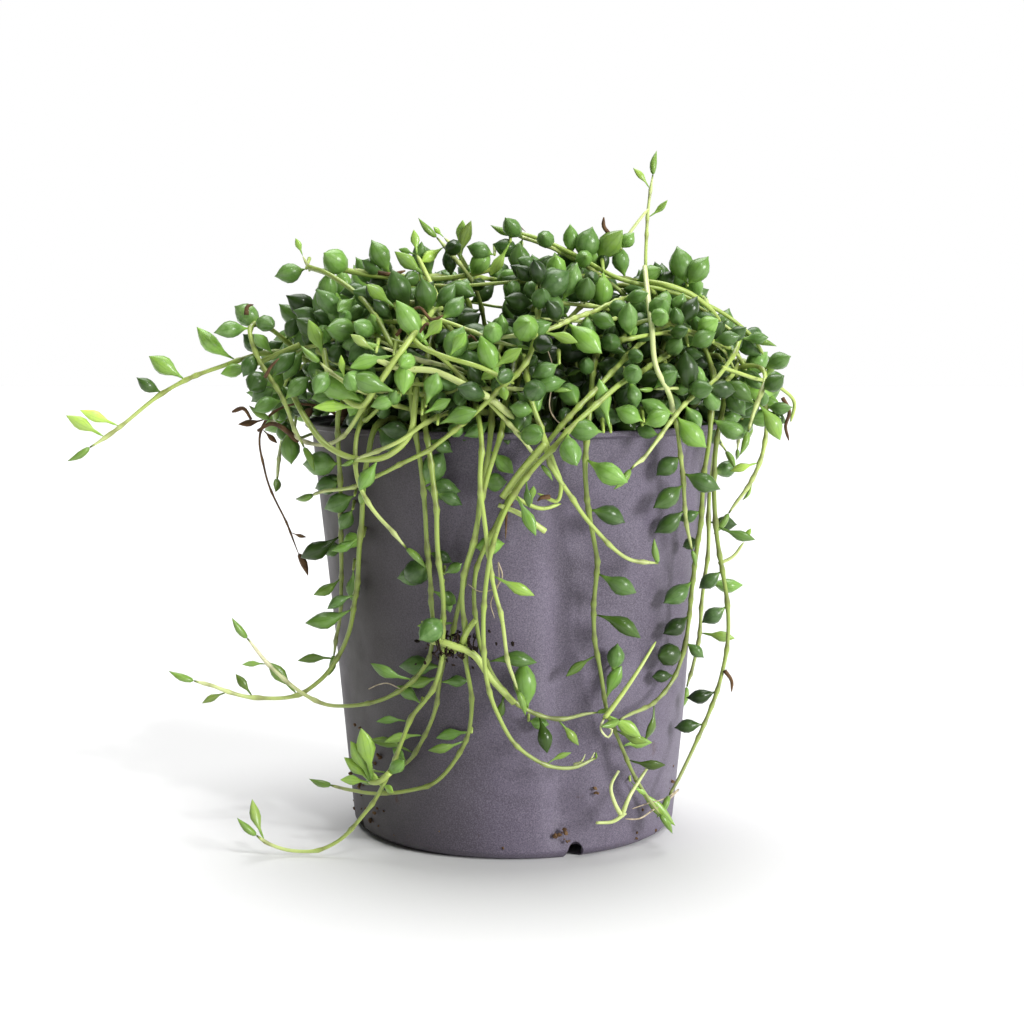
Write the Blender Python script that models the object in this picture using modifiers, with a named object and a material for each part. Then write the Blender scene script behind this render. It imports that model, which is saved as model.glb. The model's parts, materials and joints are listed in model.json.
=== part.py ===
"""String of beads in a plastic grower's pot, at its real size.

Metres, +Z up, +X to the right, -Y to the front. The origin is the centre of the pot's underside.
Each leafy stem is one solid: its beads, young leaves and tip bud are drawn out of the stem's own faces.
"""

import math
import random

import bmesh
import bpy
import numpy as np
from mathutils import Matrix, Vector, kdtree

MM = 0.001
SEED = 12

# Pot: a thin tapering wall with a lip, a skirt with arched notches and a raised floor round a flat pad
SIDES_ROUND = 32
POT_HEIGHT = 117 * MM
LIP_RADIUS = 59.7 * MM
LIP_HEIGHT = 1.6 * MM
WALL_TOP_RADIUS = 57.9 * MM
FOOT_RADIUS = 46.3 * MM
WALL = 1.1 * MM
FLOOR = 1.2 * MM
FLOOR_RAISE = 3 * MM
PAD_RADIUS = 29 * MM
PAD_SLOPE = 1.5 * MM
NOTCHES = 4
NOTCH_HALF_WIDTH = 2.6 * MM
NOTCH_HEIGHT = 4.6 * MM
NOTCH_TURN = math.radians(21.4)
DRAINS = 8
DRAIN_RADIUS = 3.2 * MM
DRAIN_CIRCLE = 38 * MM

# Soil: fills the pot to a little under the rim, with a plain hole for each stem
FIT_GAP = 0.3 * MM
SOIL_EDGE = 108 * MM
SOIL_MIDDLE = 110.5 * MM
HOLE_SIDES = 4
HOLE_RADIUS = 1.9 * MM
HOLE_DEPTH = 5.6 * MM
ROOT_DEPTH = 5 * MM
ROOT_CIRCLE = 49 * MM
ROOT_INWARD = 0.55
MOUND_ROOT_INWARD = 0.8

# Stems, and how they are settled beside each other
STEM_RADIUS = 0.95 * MM
STEM_END_SHARE = 0.6
STEM_SIDES = 3
SAMPLE = 2.5 * MM
BEND_ERROR = 1 * MM
STEM_GAP = 2.7 * MM
STEM_OFF_WALL = 0.8 * MM
STEM_OFF_TABLE = 0.6 * MM
CLEARANCE = 0.4 * MM
SETTLE_ROUNDS = 90
SMOOTHING = 0.15
LATER_OUTSIDE = 0.8

# Leaves: a bead or a young leaf grows where a stem has a node, and each stem ends in a bud
NODE_LENGTH = 1.4 * MM
NODE_APART = 3.1 * MM
FIRST_NODE = 16 * MM
LAST_NODE = 12 * MM
BEAD_SPACING = 10 * MM
SPARSE_SPACING = 16 * MM
BEAD_LENGTH = 9.3 * MM
SEEN_LENGTHS = (6.5 * MM, 11 * MM)
YOUNG_STRETCH = 45 * MM
BUD_LENGTH = 6.5 * MM
BEADS_ABOVE = 121 * MM

# The mound: a flattened dome over the rim, whose inside is bare of leaves
DOME_RADIUS = 70 * MM
DOME_RISE = 50 * MM
DOME_FLATNESS = 0.45
DOME_FOOT = 112 * MM
DOME_SKIRT = 60 * MM
BARE_INSIDE = 0.72
MOUND_STEMS = 14
MOUND_FIRST = 0.1
MOUND_SPREAD = 0.65
MOUND_TURN = math.radians(234)
MOUND_STEPS = 5
MOUND_STRIDE = 17 * MM

# Strands down the sides and back, where the photo doesn't look
SIDE_STRANDS = 10
SIDE_FIRST = math.radians(114)
SIDE_SWEEP = math.radians(132)
SIDE_ROOTS = 42 * MM
SIDE_DROPS = (28 * MM, 45 * MM, 62 * MM, 84 * MM)
SIDE_UNDER_RIM = 13 * MM
SIDE_STEP = 17 * MM

# The stems that can be told apart from the front, root end first, in millimetres. A leaf is the place of
# its tip across and up, and how full it is: 0 for a narrow young leaf, 1 for a ripe bead.
TRACED = {
    "left_trailer": dict(
        route=[
            (-60, -20, 139), (-71, -24, 135), (-88, -26, 130), (-101, -26, 122), (-109, -28, 114),
            (-116, -28, 111),
        ],
        leaves=[(-85, 141, 0.6), (-98, 133, 0.5), (-117, 120, 0.1), (-125, 121, 0.3)],
    ),
    "left_loop": dict(
        route=[
            (-64, -18, 140), (-70, -22, 149), (-75, -28, 146), (-68, -34, 133), (-60, -38, 123),
            (-55, -40, 112),
        ],
        leaves=[(-80, 149, 1), (-78, 136, 1), (-73, 129, 1), (-70, 124, 1)],
    ),
    "dry_thread": dict(
        route=[
            (-60, -26, 125), (-70, -32, 120), (-72, -32, 114), (-69, -30, 106), (-65, -26, 95),
            (-60, -22, 81),
        ],
        leaves=[(-78, 117, 0), (-63, 111, 0), (-57, 86, 0)],
    ),
    "pale_left": dict(
        route=[
            (-23, -40, 148), (-32, -56, 135), (-38, -62, 125), (-45, -50, 115), (-56, -38, 112),
            (-66, -34, 119),
        ],
        leaves=[(-50, 124, 0.1)],
    ),
    "left_hanger_a": dict(
        route=[
            (-47, -44, 129), (-46, -50, 122), (-48, -39, 109), (-46, -39, 97), (-48, -31, 78),
            (-46, -32, 65), (-50, -26, 53),
        ],
        leaves=[(-58, 107, 1), (-53, 98, 1), (-56, 82, 0.7), (-52, 70, 0.5)],
    ),
    "left_hanger_b": dict(
        route=[
            (-37, -52, 118), (-40, -48, 96), (-41, -45, 80), (-43, -41, 66), (-47, -33, 53),
            (-58, -32, 42),
            (-74, -36, 42), (-87, -38, 48),
        ],
        leaves=[
            (-46, 85, 0.7), (-44, 71, 0.7), (-56, 64, 0.5), (-57, 53, 0.2), (-69, 54, 0.4),
            (-75, 48, 0.3),
            (-81, 43, 0.1),
        ],
    ),
    "centre_arch": dict(
        route=[
            (7, -38, 162), (7, -52, 156), (7, -66, 145), (4, -72, 134), (-8, -70, 123), (-22, -64, 113),
            (-38, -55, 104), (-54, -40, 99),
        ],
        leaves=[(-40, 98, 0.2), (-14, 128, 1), (14, 146, 1)],
    ),
    "knot_left": dict(
        route=[
            (-34, -42, 146), (-27, -60, 131), (-26, -58, 113), (-23, -57, 92), (-20, -58, 66),
            (-24, -56, 52),
            (-33, -50, 45), (-48, -38, 39), (-62, -36, 45), (-72, -40, 60),
        ],
        leaves=[(-42, 57, 0.4), (-16, 70, 0.5), (-31, 76, 1), (-17, 82, 1), (-73, 52, 0)],
    ),
    "knot_ground": dict(
        route=[
            (-20, -26, 150), (-23, -54, 134), (-22, -63, 105), (-18, -62, 80), (-18, -61, 58),
            (-24, -58, 43),
            (-33, -52, 33), (-37, -49, 17), (-46, -43, 4), (-55, -41, -5), (-66, -41, -5), (-70, -42, 6),
        ],
        leaves=[(-17, 112, 0.8), (-15, 98, 1), (-29, 63, 1), (-35, 40, 0.3), (-75, 11, 0.1)],
    ),
    "knot_fall": dict(
        route=[
            (-4, -40, 143), (-5, -63, 122), (-7, -61, 105), (-12, -59, 83), (-17, -55, 60),
            (-22, -51, 40),
            (-27, -46, 26), (-37, -37, 21),
        ],
        leaves=[(-3, 87, 1), (-8, 77, 0.8), (-44, 35, 0.2), (-46, 27, 0.1), (-33, 34, 0.2)],
    ),
    "knot_sweep": dict(
        route=[
            (2, -40, 140), (-2, -66, 122), (-7, -67, 102), (-14, -63, 74), (-14, -60, 58), (-9, -57, 42),
            (-17, -53, 26), (-32, -48, 17), (-50, -38, 19),
        ],
        leaves=[(0, 104, 1), (-21, 33, 0.2), (-40, 24, 0.2)],
    ),
    "knot_right": dict(
        route=[
            (44, -24, 146), (26, -58, 134), (12, -68, 120), (-3, -63, 100), (-10, -60, 80),
            (-11, -60, 61), (-4, -58, 50), (5, -56, 41), (14, -54, 39), (22, -51, 42),
        ],
        leaves=[(3, 57, 0.6), (-4, 42, 0.3), (9, 35, 0.6), (16, 35, 0.1)],
    ),
    "knot_low": dict(
        route=[
            (46, -26, 138), (27, -62, 128), (8, -70, 114), (-5, -68, 91), (-9, -66, 66), (-6, -63, 46),
            (1, -60, 33), (9, -58, 27), (17, -55, 26), (22, -52, 30),
        ],
        leaves=[(3, 103, 0.1), (6, 92, 0.1), (13, 32, 0)],
    ),
    "thin_front": dict(
        route=[(-9, -58, 127), (-8, -71, 113), (-8, -68, 92), (-4, -66, 68), (1, -62, 50)],
        leaves=[(4, 76, 0)],
    ),
    "right_straight": dict(
        route=[
            (23, -36, 140), (19, -62, 124), (19, -60, 105), (21, -55, 84), (22, -53, 62), (24, -48, 40),
            (31, -45, 26), (40, -39, 11),
        ],
        leaves=[
            (28, 106, 0.6), (31, 91, 0.8), (29, 75, 0.6), (33, 63, 0.5), (15, 52, 0.1), (34, 33, 0.4),
            (40, 26, 0.3),
        ],
    ),
    "hook": dict(
        route=[
            (2, -52, 140), (3, -71, 126), (8, -68, 112), (19, -62, 96), (28, -57, 84), (34, -53, 79),
            (38, -51, 82),
        ],
        leaves=[(15, 112, 0.3)],
    ),
    "right_beads": dict(
        route=[(39, -26, 140), (41, -48, 126), (44, -47, 107), (46, -41, 92), (48, -39, 84)],
        leaves=[(37, 104, 1), (36, 96, 1), (36, 88, 1), (53, 100, 1)],
    ),
    "right_hanger": dict(
        route=[
            (51, -22, 143), (54, -35, 125), (51, -37, 100), (49, -36, 80), (48, -32, 62),
            (43, -36, 43), (28, -51, 40),
        ],
        leaves=[
            (46, 90, 1), (44, 82, 1), (40, 69, 1), (40, 60, 1), (50, 52, 0.8), (36, 48, 1), (29, 56, 0.8),
            (36, 33, 0.4),
        ],
    ),
    "right_outer": dict(
        route=[
            (58, -14, 140), (57, -25, 122), (54, -27, 103), (57, -22, 82), (61, -20, 64), (58, -23, 44),
            (48, -29, 22), (43, -33, 15),
        ],
        leaves=[(65, 85, 0.1), (53, 70, 1), (54, 61, 1), (49, 40, 1), (46, 31, 1)],
    ),
    "far_right": dict(
        route=[(63, 0, 138), (71, -12, 125), (72, -16, 110), (66, -18, 99), (60, -20, 92)],
        leaves=[(62, 104, 0.2), (64, 118, 1), (66, 100, 0.2), (77, 116, 1)],
    ),
    "far_right_pale": dict(
        route=[(66, -16, 136), (72, -26, 131), (66, -34, 126), (63, -37, 116)],
        leaves=[(71, 115, 0.5)],
    ),
    "tall_shoot": dict(
        route=[(39, -33, 131), (37, -28, 145), (36, -18, 161), (37, -10, 176), (39, -7, 186)],
        leaves=[(35, 186, 0.1), (41, 178, 0.2), (32, 169, 0.8), (45, 150, 1)],
    ),
    "top_arch": dict(
        route=[(36, -20, 148), (31, -24, 156), (18, -25, 161), (8, -24, 166), (0, -20, 169)],
        leaves=[(25, 165, 1), (15, 171, 1), (23, 152, 1), (6, 158, 0.9)],
    ),
    "top_right": dict(
        route=[(40, 0, 151), (48, -8, 154), (58, -13, 149), (66, -16, 140)],
        leaves=[(47, 164, 1), (54, 162, 1), (49, 145, 1), (61, 158, 1), (74, 143, 1), (66, 130, 1)],
    ),
    "mid_pale": dict(
        route=[(-4, -44, 128), (-9, -58, 132), (-20, -64, 137), (-34, -62, 139)],
        leaves=[(-28, 131, 0.3), (-16, 145, 1)],
    ),
    "mid_pale_low": dict(
        route=[(-20, -50, 122), (-29, -62, 124), (-40, -63, 126), (-50, -57, 135)],
        leaves=[(-44, 135, 0.2)],
    ),
    "short_curl": dict(
        route=[(-17, -61, 125), (-25, -69, 118), (-34, -64, 113), (-42, -56, 110)],
        leaves=[],
    ),
    "top_left": dict(
        route=[(-12, -14, 156), (-22, -20, 158), (-36, -22, 158), (-48, -19, 159)],
        leaves=[(-62, 161, 0.9), (-57, 166, 0.2), (-39, 167, 1), (-53, 151, 1), (-28, 167, 1)],
    ),
    "top_shoot": dict(
        route=[(-10, -20, 155), (-15, -22, 162), (-21, -24, 168)],
        leaves=[(-12, 171, 0.3), (-24, 162, 0.5), (-6, 165, 1)],
    ),
    "thick_green": dict(
        route=[(-38, -50, 124), (-44, -54, 108), (-37, -57, 96), (-28, -58, 87)],
        leaves=[],
    ),
}


def clear_scene():
    for item in list(bpy.data.objects):
        bpy.data.objects.remove(item, do_unlink=True)


def new_collection(name):
    collection = bpy.data.collections.new(name)
    bpy.context.scene.collection.children.link(collection)
    return collection


def new_material(name, colour, roughness):
    material = bpy.data.materials.new(name)
    material.use_nodes = True
    shader = material.node_tree.nodes["Principled BSDF"]
    shader.inputs["Base Color"].default_value = (*colour, 1)
    shader.inputs["Roughness"].default_value = roughness
    shader.inputs["Metallic"].default_value = 0
    return material


def new_object(name, mesh, collection, material=None):
    item = bpy.data.objects.new(name, mesh)
    collection.objects.link(item)
    if material:
        mesh.materials.append(material)
    return item


def turned(name, profile, collection, material):
    """A turned solid. Its profile goes up the inner side, or from the axis, and down the outer side."""
    mesh = bpy.data.meshes.new(name)
    points = [(radius, 0, height) for radius, height in profile]
    mesh.from_pydata(points, [(i, i + 1) for i in range(len(points) - 1)], [])
    item = new_object(name, mesh, collection, material)
    screw = item.modifiers.new("turn", "SCREW")
    screw.axis = "Z"
    screw.steps = SIDES_ROUND
    screw.render_steps = SIDES_ROUND
    screw.use_merge_vertices = True
    screw.merge_threshold = 0.00001
    screw.use_smooth_shade = False
    return item


def cut(item, cutter):
    cutter.hide_render = True
    cutter.display_type = "WIRE"
    boolean = item.modifiers.new("cut " + cutter.name, "BOOLEAN")
    boolean.operation = "DIFFERENCE"
    boolean.solver = "EXACT"
    boolean.object = cutter


def outer_wall(height):
    """Radius of the pot's outer face. The height may be a number or an array."""
    share = np.clip(height / (POT_HEIGHT - LIP_HEIGHT), 0, 1)
    return FOOT_RADIUS + (WALL_TOP_RADIUS - FOOT_RADIUS) * share


def soil_top(radius):
    share = np.clip(radius / (WALL_TOP_RADIUS - WALL), 0, 1)
    return SOIL_MIDDLE + (SOIL_EDGE - SOIL_MIDDLE) * share


def make_pot(collection, cutters):
    lip_foot = POT_HEIGHT - LIP_HEIGHT
    raised = FLOOR_RAISE + FLOOR
    profile = [
        (0, FLOOR),
        (PAD_RADIUS, FLOOR),
        (PAD_RADIUS + PAD_SLOPE, raised),
        (outer_wall(raised) - WALL, raised),
        (outer_wall(lip_foot) - WALL, lip_foot),
        (LIP_RADIUS - WALL, lip_foot + WALL / 2),
        (LIP_RADIUS - WALL, POT_HEIGHT),
        (LIP_RADIUS, POT_HEIGHT),
        (LIP_RADIUS, lip_foot),
        (WALL_TOP_RADIUS, lip_foot - WALL / 3),
        (FOOT_RADIUS, 0),
        (FOOT_RADIUS - WALL, 0),
        (outer_wall(FLOOR_RAISE) - WALL, FLOOR_RAISE),
        (PAD_RADIUS + PAD_SLOPE, FLOOR_RAISE),
        (PAD_RADIUS, 0),
        (0, 0),
    ]
    plastic = new_material("taupe plastic", (0.105, 0.085, 0.1), 0.55)
    pot = turned("pot", profile, collection, plastic)
    bm = bmesh.new()
    for i in range(NOTCHES):
        turn = Matrix.Rotation(NOTCH_TURN + i * math.tau / NOTCHES, 4, "Z")
        place = Matrix.Translation((0, -(FOOT_RADIUS - WALL / 2), 0))
        tall = Matrix.Diagonal((1, 1, NOTCH_HEIGHT / NOTCH_HALF_WIDTH, 1))
        bmesh.ops.create_cone(
            bm, cap_ends=True, segments=12, radius1=NOTCH_HALF_WIDTH, radius2=NOTCH_HALF_WIDTH,
            depth=4 * WALL, matrix=turn @ place @ tall @ Matrix.Rotation(math.pi / 2, 4, "X"),
        )
    for i in range(DRAINS):
        turn = Matrix.Rotation((i + 0.5) * math.tau / DRAINS, 4, "Z")
        place = Matrix.Translation((0, -DRAIN_CIRCLE, FLOOR_RAISE + FLOOR / 2))
        bmesh.ops.create_cone(
            bm, cap_ends=True, segments=8, radius1=DRAIN_RADIUS, radius2=DRAIN_RADIUS,
            depth=3 * FLOOR, matrix=turn @ place,
        )
    mesh = bpy.data.meshes.new("notches and drains")
    bm.to_mesh(mesh)
    bm.free()
    cut(pot, new_object("notches and drains", mesh, cutters))


def make_soil(collection, cutters, roots):
    raised = FLOOR_RAISE + FLOOR + FIT_GAP
    edge = outer_wall(SOIL_EDGE) - WALL - FIT_GAP
    profile = [
        (0, SOIL_MIDDLE),
        (edge, SOIL_EDGE),
        (outer_wall(raised) - WALL - FIT_GAP, raised),
        (PAD_RADIUS + PAD_SLOPE - FIT_GAP, raised),
        (PAD_RADIUS - FIT_GAP, FLOOR + FIT_GAP),
        (0, FLOOR + FIT_GAP),
    ]
    peat = new_material("peat", (0.035, 0.022, 0.015), 0.95)
    soil = turned("soil", profile, collection, peat)
    bm = bmesh.new()
    for x, y in roots:
        top = soil_top(math.hypot(x, y))
        place = Matrix.Translation((x, y, top))
        bmesh.ops.create_cone(
            bm, cap_ends=True, segments=HOLE_SIDES, radius1=HOLE_RADIUS, radius2=HOLE_RADIUS,
            depth=2 * HOLE_DEPTH, matrix=place @ Matrix.Rotation(math.atan2(y, x), 4, "Z"),
        )
    mesh = bpy.data.meshes.new("stem holes")
    bm.to_mesh(mesh)
    bm.free()
    cut(soil, new_object("stem holes", mesh, cutters))


def smooth_route(points):
    """Points a few millimetres apart on a smooth curve through the given ones."""
    ends = [2 * points[0] - points[1], *points, 2 * points[-1] - points[-2]]
    fine = []
    for before, start, end, after in zip(ends, ends[1:], ends[2:], ends[3:]):
        for t in np.linspace(0, 1, 12, endpoint=False):
            fine.append(0.5 * (
                2 * start + (end - before) * t + (2 * before - 5 * start + 4 * end - after) * t ** 2
                + (3 * start - before - 3 * end + after) * t ** 3
            ))
    fine.append(points[-1])
    return resampled(np.array(fine), SAMPLE)


def lengths_along(points):
    return np.concatenate([[0], np.cumsum(np.linalg.norm(np.diff(points, axis=0), axis=1))])


def resampled(points, step):
    along = lengths_along(points)
    places = np.linspace(0, along[-1], max(3, round(along[-1] / step)) + 1)
    return np.stack([np.interp(places, along, points[:, axis]) for axis in range(3)], axis=1)


def point_at(points, along, place):
    return np.array([np.interp(place, along, points[:, axis]) for axis in range(3)])


def dome_point(turn, share):
    """A place on the mound's surface: share 0 at its top, 1 at its widest, and below that past 1."""
    over = max(share - 1, 0)
    angle = min(share, 1) * math.pi / 2
    radius = DOME_RADIUS * math.sin(angle)
    height = DOME_FOOT + DOME_RISE * max(math.cos(angle), 0) ** DOME_FLATNESS - DOME_SKIRT * over
    return np.array([radius * math.sin(turn), -radius * math.cos(turn), height])


def outward_share(point):
    """How far out in the mound a point is: 0 in the middle of its foot, 1 on its surface."""
    across = math.hypot(point[0], point[1]) / DOME_RADIUS
    up = max(point[2] - DOME_FOOT, 0) / DOME_RISE
    return (across ** 3 + up ** 3) ** (1 / 3)


def mound_route(turn, share, way, draw):
    """A stem that climbs inside the mound, then runs round it just under its surface, slowly outwards."""
    route = [dome_point(turn, share) * (0.8, 0.8, 0.88)]
    for _ in range(MOUND_STEPS):
        route.append(dome_point(turn, share) * (0.97, 0.97, 0.99))
        turn += way * min(MOUND_STRIDE / (DOME_RADIUS * math.sin(share * math.pi / 2)), 0.9)
        share += draw.uniform(0.04, 0.13)
    return route


def side_route(turn, drop, draw):
    """A stem that climbs over the rim and hangs down outside the wall."""
    route = [dome_point(turn, 0.55) * (0.88, 0.88, 0.95), dome_point(turn, 0.93) * 0.97]
    height = POT_HEIGHT - SIDE_UNDER_RIM
    sway = draw.uniform(-0.12, 0.12)
    while height > POT_HEIGHT - drop:
        turn += sway
        sway = 0.5 * sway + draw.uniform(-0.09, 0.09)
        radius = outer_wall(height) + draw.uniform(4, 8) * MM
        route.append(np.array([radius * math.sin(turn), -radius * math.cos(turn), height]))
        height -= SIDE_STEP
    return route


def plan_stems():
    """The stems, each with its root in the soil: traced, then at the sides and back, then in the mound."""
    draw = random.Random(SEED)
    total = len(TRACED) + SIDE_STRANDS + MOUND_STEMS
    golden = math.pi * (3 - math.sqrt(5))
    free = []
    for i in range(total):
        radius = ROOT_CIRCLE * math.sqrt((i + 0.5) / total)
        free.append((radius * math.cos(i * golden), radius * math.sin(i * golden)))

    def take_root(x, y):
        root = min(free, key=lambda spot: math.dist(spot, (x, y)))
        free.remove(root)
        return root

    stems = []
    for name, traced in TRACED.items():
        route = [np.array(point) * MM for point in traced["route"]]
        root = take_root(ROOT_INWARD * route[0][0], ROOT_INWARD * route[0][1])
        leaves = [(x * MM, z * MM, full) for x, z, full in traced["leaves"]]
        stems.append(dict(name="strand_" + name, root=root, route=route, leaves=leaves))
    for i in range(SIDE_STRANDS):
        turn = SIDE_FIRST + i * SIDE_SWEEP / (SIDE_STRANDS - 1)
        root = take_root(SIDE_ROOTS * math.sin(turn), -SIDE_ROOTS * math.cos(turn))
        route = side_route(turn, draw.choice(SIDE_DROPS), draw)
        stems.append(dict(name=f"side_strand_{i + 1:02d}", root=root, route=route, leaves=[]))
    for i in range(MOUND_STEMS):
        share = MOUND_FIRST + MOUND_SPREAD * math.sqrt((i + 0.5) / MOUND_STEMS)
        route = mound_route(MOUND_TURN + i * golden, share, 1 if i % 2 else -1, draw)
        root = take_root(MOUND_ROOT_INWARD * route[0][0], MOUND_ROOT_INWARD * route[0][1])
        stems.append(dict(name=f"mound_stem_{i + 1:02d}", root=root, route=route, leaves=[]))
    for stem in stems:
        x, y = stem["root"]
        top = soil_top(math.hypot(x, y))
        start = [np.array([x, y, top + rise]) for rise in (-ROOT_DEPTH, 1 * MM, 7 * MM)]
        stem["points"] = smooth_route(start + stem["route"])
    return stems


def wall_side(points):
    """1 for points outside the pot's wall, -1 for those inside, 0 for those above it."""
    radius = np.hypot(points[:, 0], points[:, 1])
    side = np.where(radius > outer_wall(points[:, 2]) - WALL / 2, 1, -1)
    return np.where(points[:, 2] < POT_HEIGHT - LIP_HEIGHT, side, 0)


def kept_clear(points, margin, off_table, side=0):
    """The points moved off the wall, lip, soil and table, each to the side of the wall that it is on."""
    points = points.copy()
    radius = np.hypot(points[:, 0], points[:, 1])
    height = points[:, 2]
    wall = outer_wall(height)
    low = height < POT_HEIGHT - LIP_HEIGHT
    outside = np.where(side == 0, wall_side(points), side) > 0
    wanted = radius.copy()
    wanted[low & outside] = np.maximum(radius, wall + margin)[low & outside]
    wanted[low & ~outside] = np.minimum(radius, wall - WALL - margin)[low & ~outside]
    lip = np.array([LIP_RADIUS - WALL / 2, POT_HEIGHT - LIP_HEIGHT / 2])
    away = np.stack([wanted, height], axis=1) - lip
    distance = np.maximum(np.linalg.norm(away, axis=1), 1e-9)
    short = np.maximum(LIP_HEIGHT + margin - distance, 0) / distance
    wanted += away[:, 0] * short
    height = height + away[:, 1] * short
    over_soil = (wanted < WALL_TOP_RADIUS) & ~outside & (height > POT_HEIGHT / 2)
    height = np.where(over_soil, np.maximum(height, soil_top(wanted) + margin), height)
    points[:, :2] *= (wanted / np.maximum(radius, 1e-9))[:, None]
    points[:, 2] = np.maximum(height, off_table)
    return points


def settle(stems):
    """Moves the stems apart where they would touch, and keeps each one smooth and clear of the pot.

    Where one that isn't traced crosses another, it goes over it, on the side away from the pot's axis.
    """
    points = np.concatenate([stem["points"] for stem in stems])
    owner = np.concatenate([np.full(len(stem["points"]), i) for i, stem in enumerate(stems)])
    order = np.concatenate([np.arange(len(stem["points"])) for stem in stems])
    last = np.concatenate([np.full(len(stem["points"]), len(stem["points"]) - 1) for stem in stems])
    bed = soil_top(np.hypot(points[:, 0], points[:, 1])) + 1.5 * MM
    rooted = (order < 4) & (points[:, 2] < bed)
    inner = np.flatnonzero(~rooted & (order < last))
    side = wall_side(points)
    for _ in range(SETTLE_ROUNDS):
        tree = kdtree.KDTree(len(points))
        for i, point in enumerate(points):
            tree.insert(point, i)
        tree.balance()
        push = np.zeros_like(points)
        middle = np.stack([0 * order, 0 * order, np.minimum(points[:, 2], DOME_FOOT)], axis=1)
        outward = points - middle
        outward /= np.linalg.norm(outward, axis=1)[:, None]
        for i, point in enumerate(points):
            for _, j, distance in tree.find_range(point, STEM_GAP):
                if j <= i or (owner[i] == owner[j] and order[j] - order[i] < 6):
                    continue
                away = (point - points[j]) / max(distance, 1e-7)
                if owner[j] >= len(TRACED):
                    away -= LATER_OUTSIDE * outward[i]
                away *= (STEM_GAP - distance) / 2 / np.linalg.norm(away)
                push[i] += away
                push[j] -= away
        moved = points + push * 0.7
        moved[inner] += SMOOTHING * ((moved[inner - 1] + moved[inner + 1]) / 2 - moved[inner])
        moved = kept_clear(moved, STEM_RADIUS + STEM_OFF_WALL, STEM_OFF_TABLE, side)
        points = np.where(rooted[:, None], points, moved)
    for i, stem in enumerate(stems):
        stem["points"] = points[owner == i]


def leaf_places(stem):
    """Where leaves grow along a stem: the distance along, and the tip and fullness of those seen."""
    points = stem["points"]
    along = lengths_along(points)
    places = []
    for x, z, full in stem["leaves"]:
        reach = np.hypot(points[:, 0] - x, points[:, 2] - z)
        near = np.flatnonzero(reach < reach.min() + 2.5 * MM)[0]
        places.append([along[near], (x, z), full])
    route = stem["route"]
    low = next((point for point in reversed(route) if point[2] > BEADS_ABOVE), route[0])
    dense_end = along[np.argmin(np.linalg.norm(points - low, axis=1))]
    place = FIRST_NODE
    while place < dense_end:
        if outward_share(point_at(points, along, place)) > BARE_INSIDE:
            places.append([place, None, 1])
        place += BEAD_SPACING
    if stem["name"].startswith("side"):
        while place < along[-1] - LAST_NODE:
            places.append([place, None, min(1, (along[-1] - place) / YOUNG_STRETCH)])
            place += SPARSE_SPACING
    places.sort(key=lambda entry: entry[0])
    kept = []
    for entry in places:
        entry[0] = min(max(entry[0], 2 * ROOT_DEPTH), along[-1] - NODE_APART)
        if kept:
            entry[0] = max(entry[0], kept[-1][0] + NODE_APART)
        if entry[0] < along[-1] - NODE_LENGTH:
            kept.append(entry)
    return kept


def ring_places(points, along, needed):
    """Places of the tube's rings: those needed, and more where the stem leaves a straight stretch."""

    def between(start, end):
        chord = point_at(points, along, end) - point_at(points, along, start)
        worst, where = 0, None
        if end - start < 3 * NODE_LENGTH:
            return []
        for place in np.linspace(start, end, 9)[2:-2]:
            offset = point_at(points, along, place) - point_at(points, along, start)
            away = np.linalg.norm(offset - chord * np.dot(offset, chord) / np.dot(chord, chord))
            if away > worst:
                worst, where = away, place
        if worst < BEND_ERROR:
            return []
        return between(start, where) + [where] + between(where, end)

    rings = [needed[0]]
    for start, end in zip(needed, needed[1:]):
        rings += between(start, end) + [end]
    return rings


def section(collection):
    """The stem's outline, a small polygon that is swept along its route."""
    outline = bpy.data.curves.new("stem section", "CURVE")
    outline.dimensions = "2D"
    outline.fill_mode = "NONE"
    spline = outline.splines.new("POLY")
    spline.points.add(STEM_SIDES - 1)
    for i, point in enumerate(spline.points):
        turn = i * math.tau / STEM_SIDES
        point.co = (STEM_RADIUS * math.cos(turn), STEM_RADIUS * math.sin(turn), 0, 1)
    spline.use_cyclic_u = True
    item = new_object(outline.name, outline, collection)
    item.hide_render = True
    item.display_type = "WIRE"
    return item


def stem_tube(stem, outline, collection):
    """The stem alone, as an editable mesh."""
    points = stem["points"]
    along = lengths_along(points)
    needed = [0, ROOT_DEPTH]
    for place, _, _ in stem["nodes"]:
        needed += [place - NODE_LENGTH / 2, place + NODE_LENGTH / 2]
    needed.append(along[-1])
    rings = ring_places(points, along, needed)
    curve = bpy.data.curves.new(stem["name"], "CURVE")
    curve.dimensions = "3D"
    curve.bevel_mode = "OBJECT"
    curve.bevel_object = outline
    curve.use_fill_caps = True
    spline = curve.splines.new("POLY")
    spline.points.add(len(rings) - 1)
    for point, place in zip(spline.points, rings):
        point.co = (*point_at(points, along, place), 1)
        point.radius = 1 - (1 - STEM_END_SHARE) * place / along[-1]
    item = new_object(stem["name"] + " curve", curve, collection)
    graph = bpy.context.evaluated_depsgraph_get()
    mesh = bpy.data.meshes.new_from_object(item.evaluated_get(graph))
    bpy.data.objects.remove(item)
    bm = bmesh.new()
    bm.from_mesh(mesh)
    bpy.data.meshes.remove(mesh)
    bmesh.ops.remove_doubles(bm, verts=bm.verts, dist=0.001 * MM)
    bmesh.ops.recalc_face_normals(bm, faces=bm.faces)
    return bm


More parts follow.
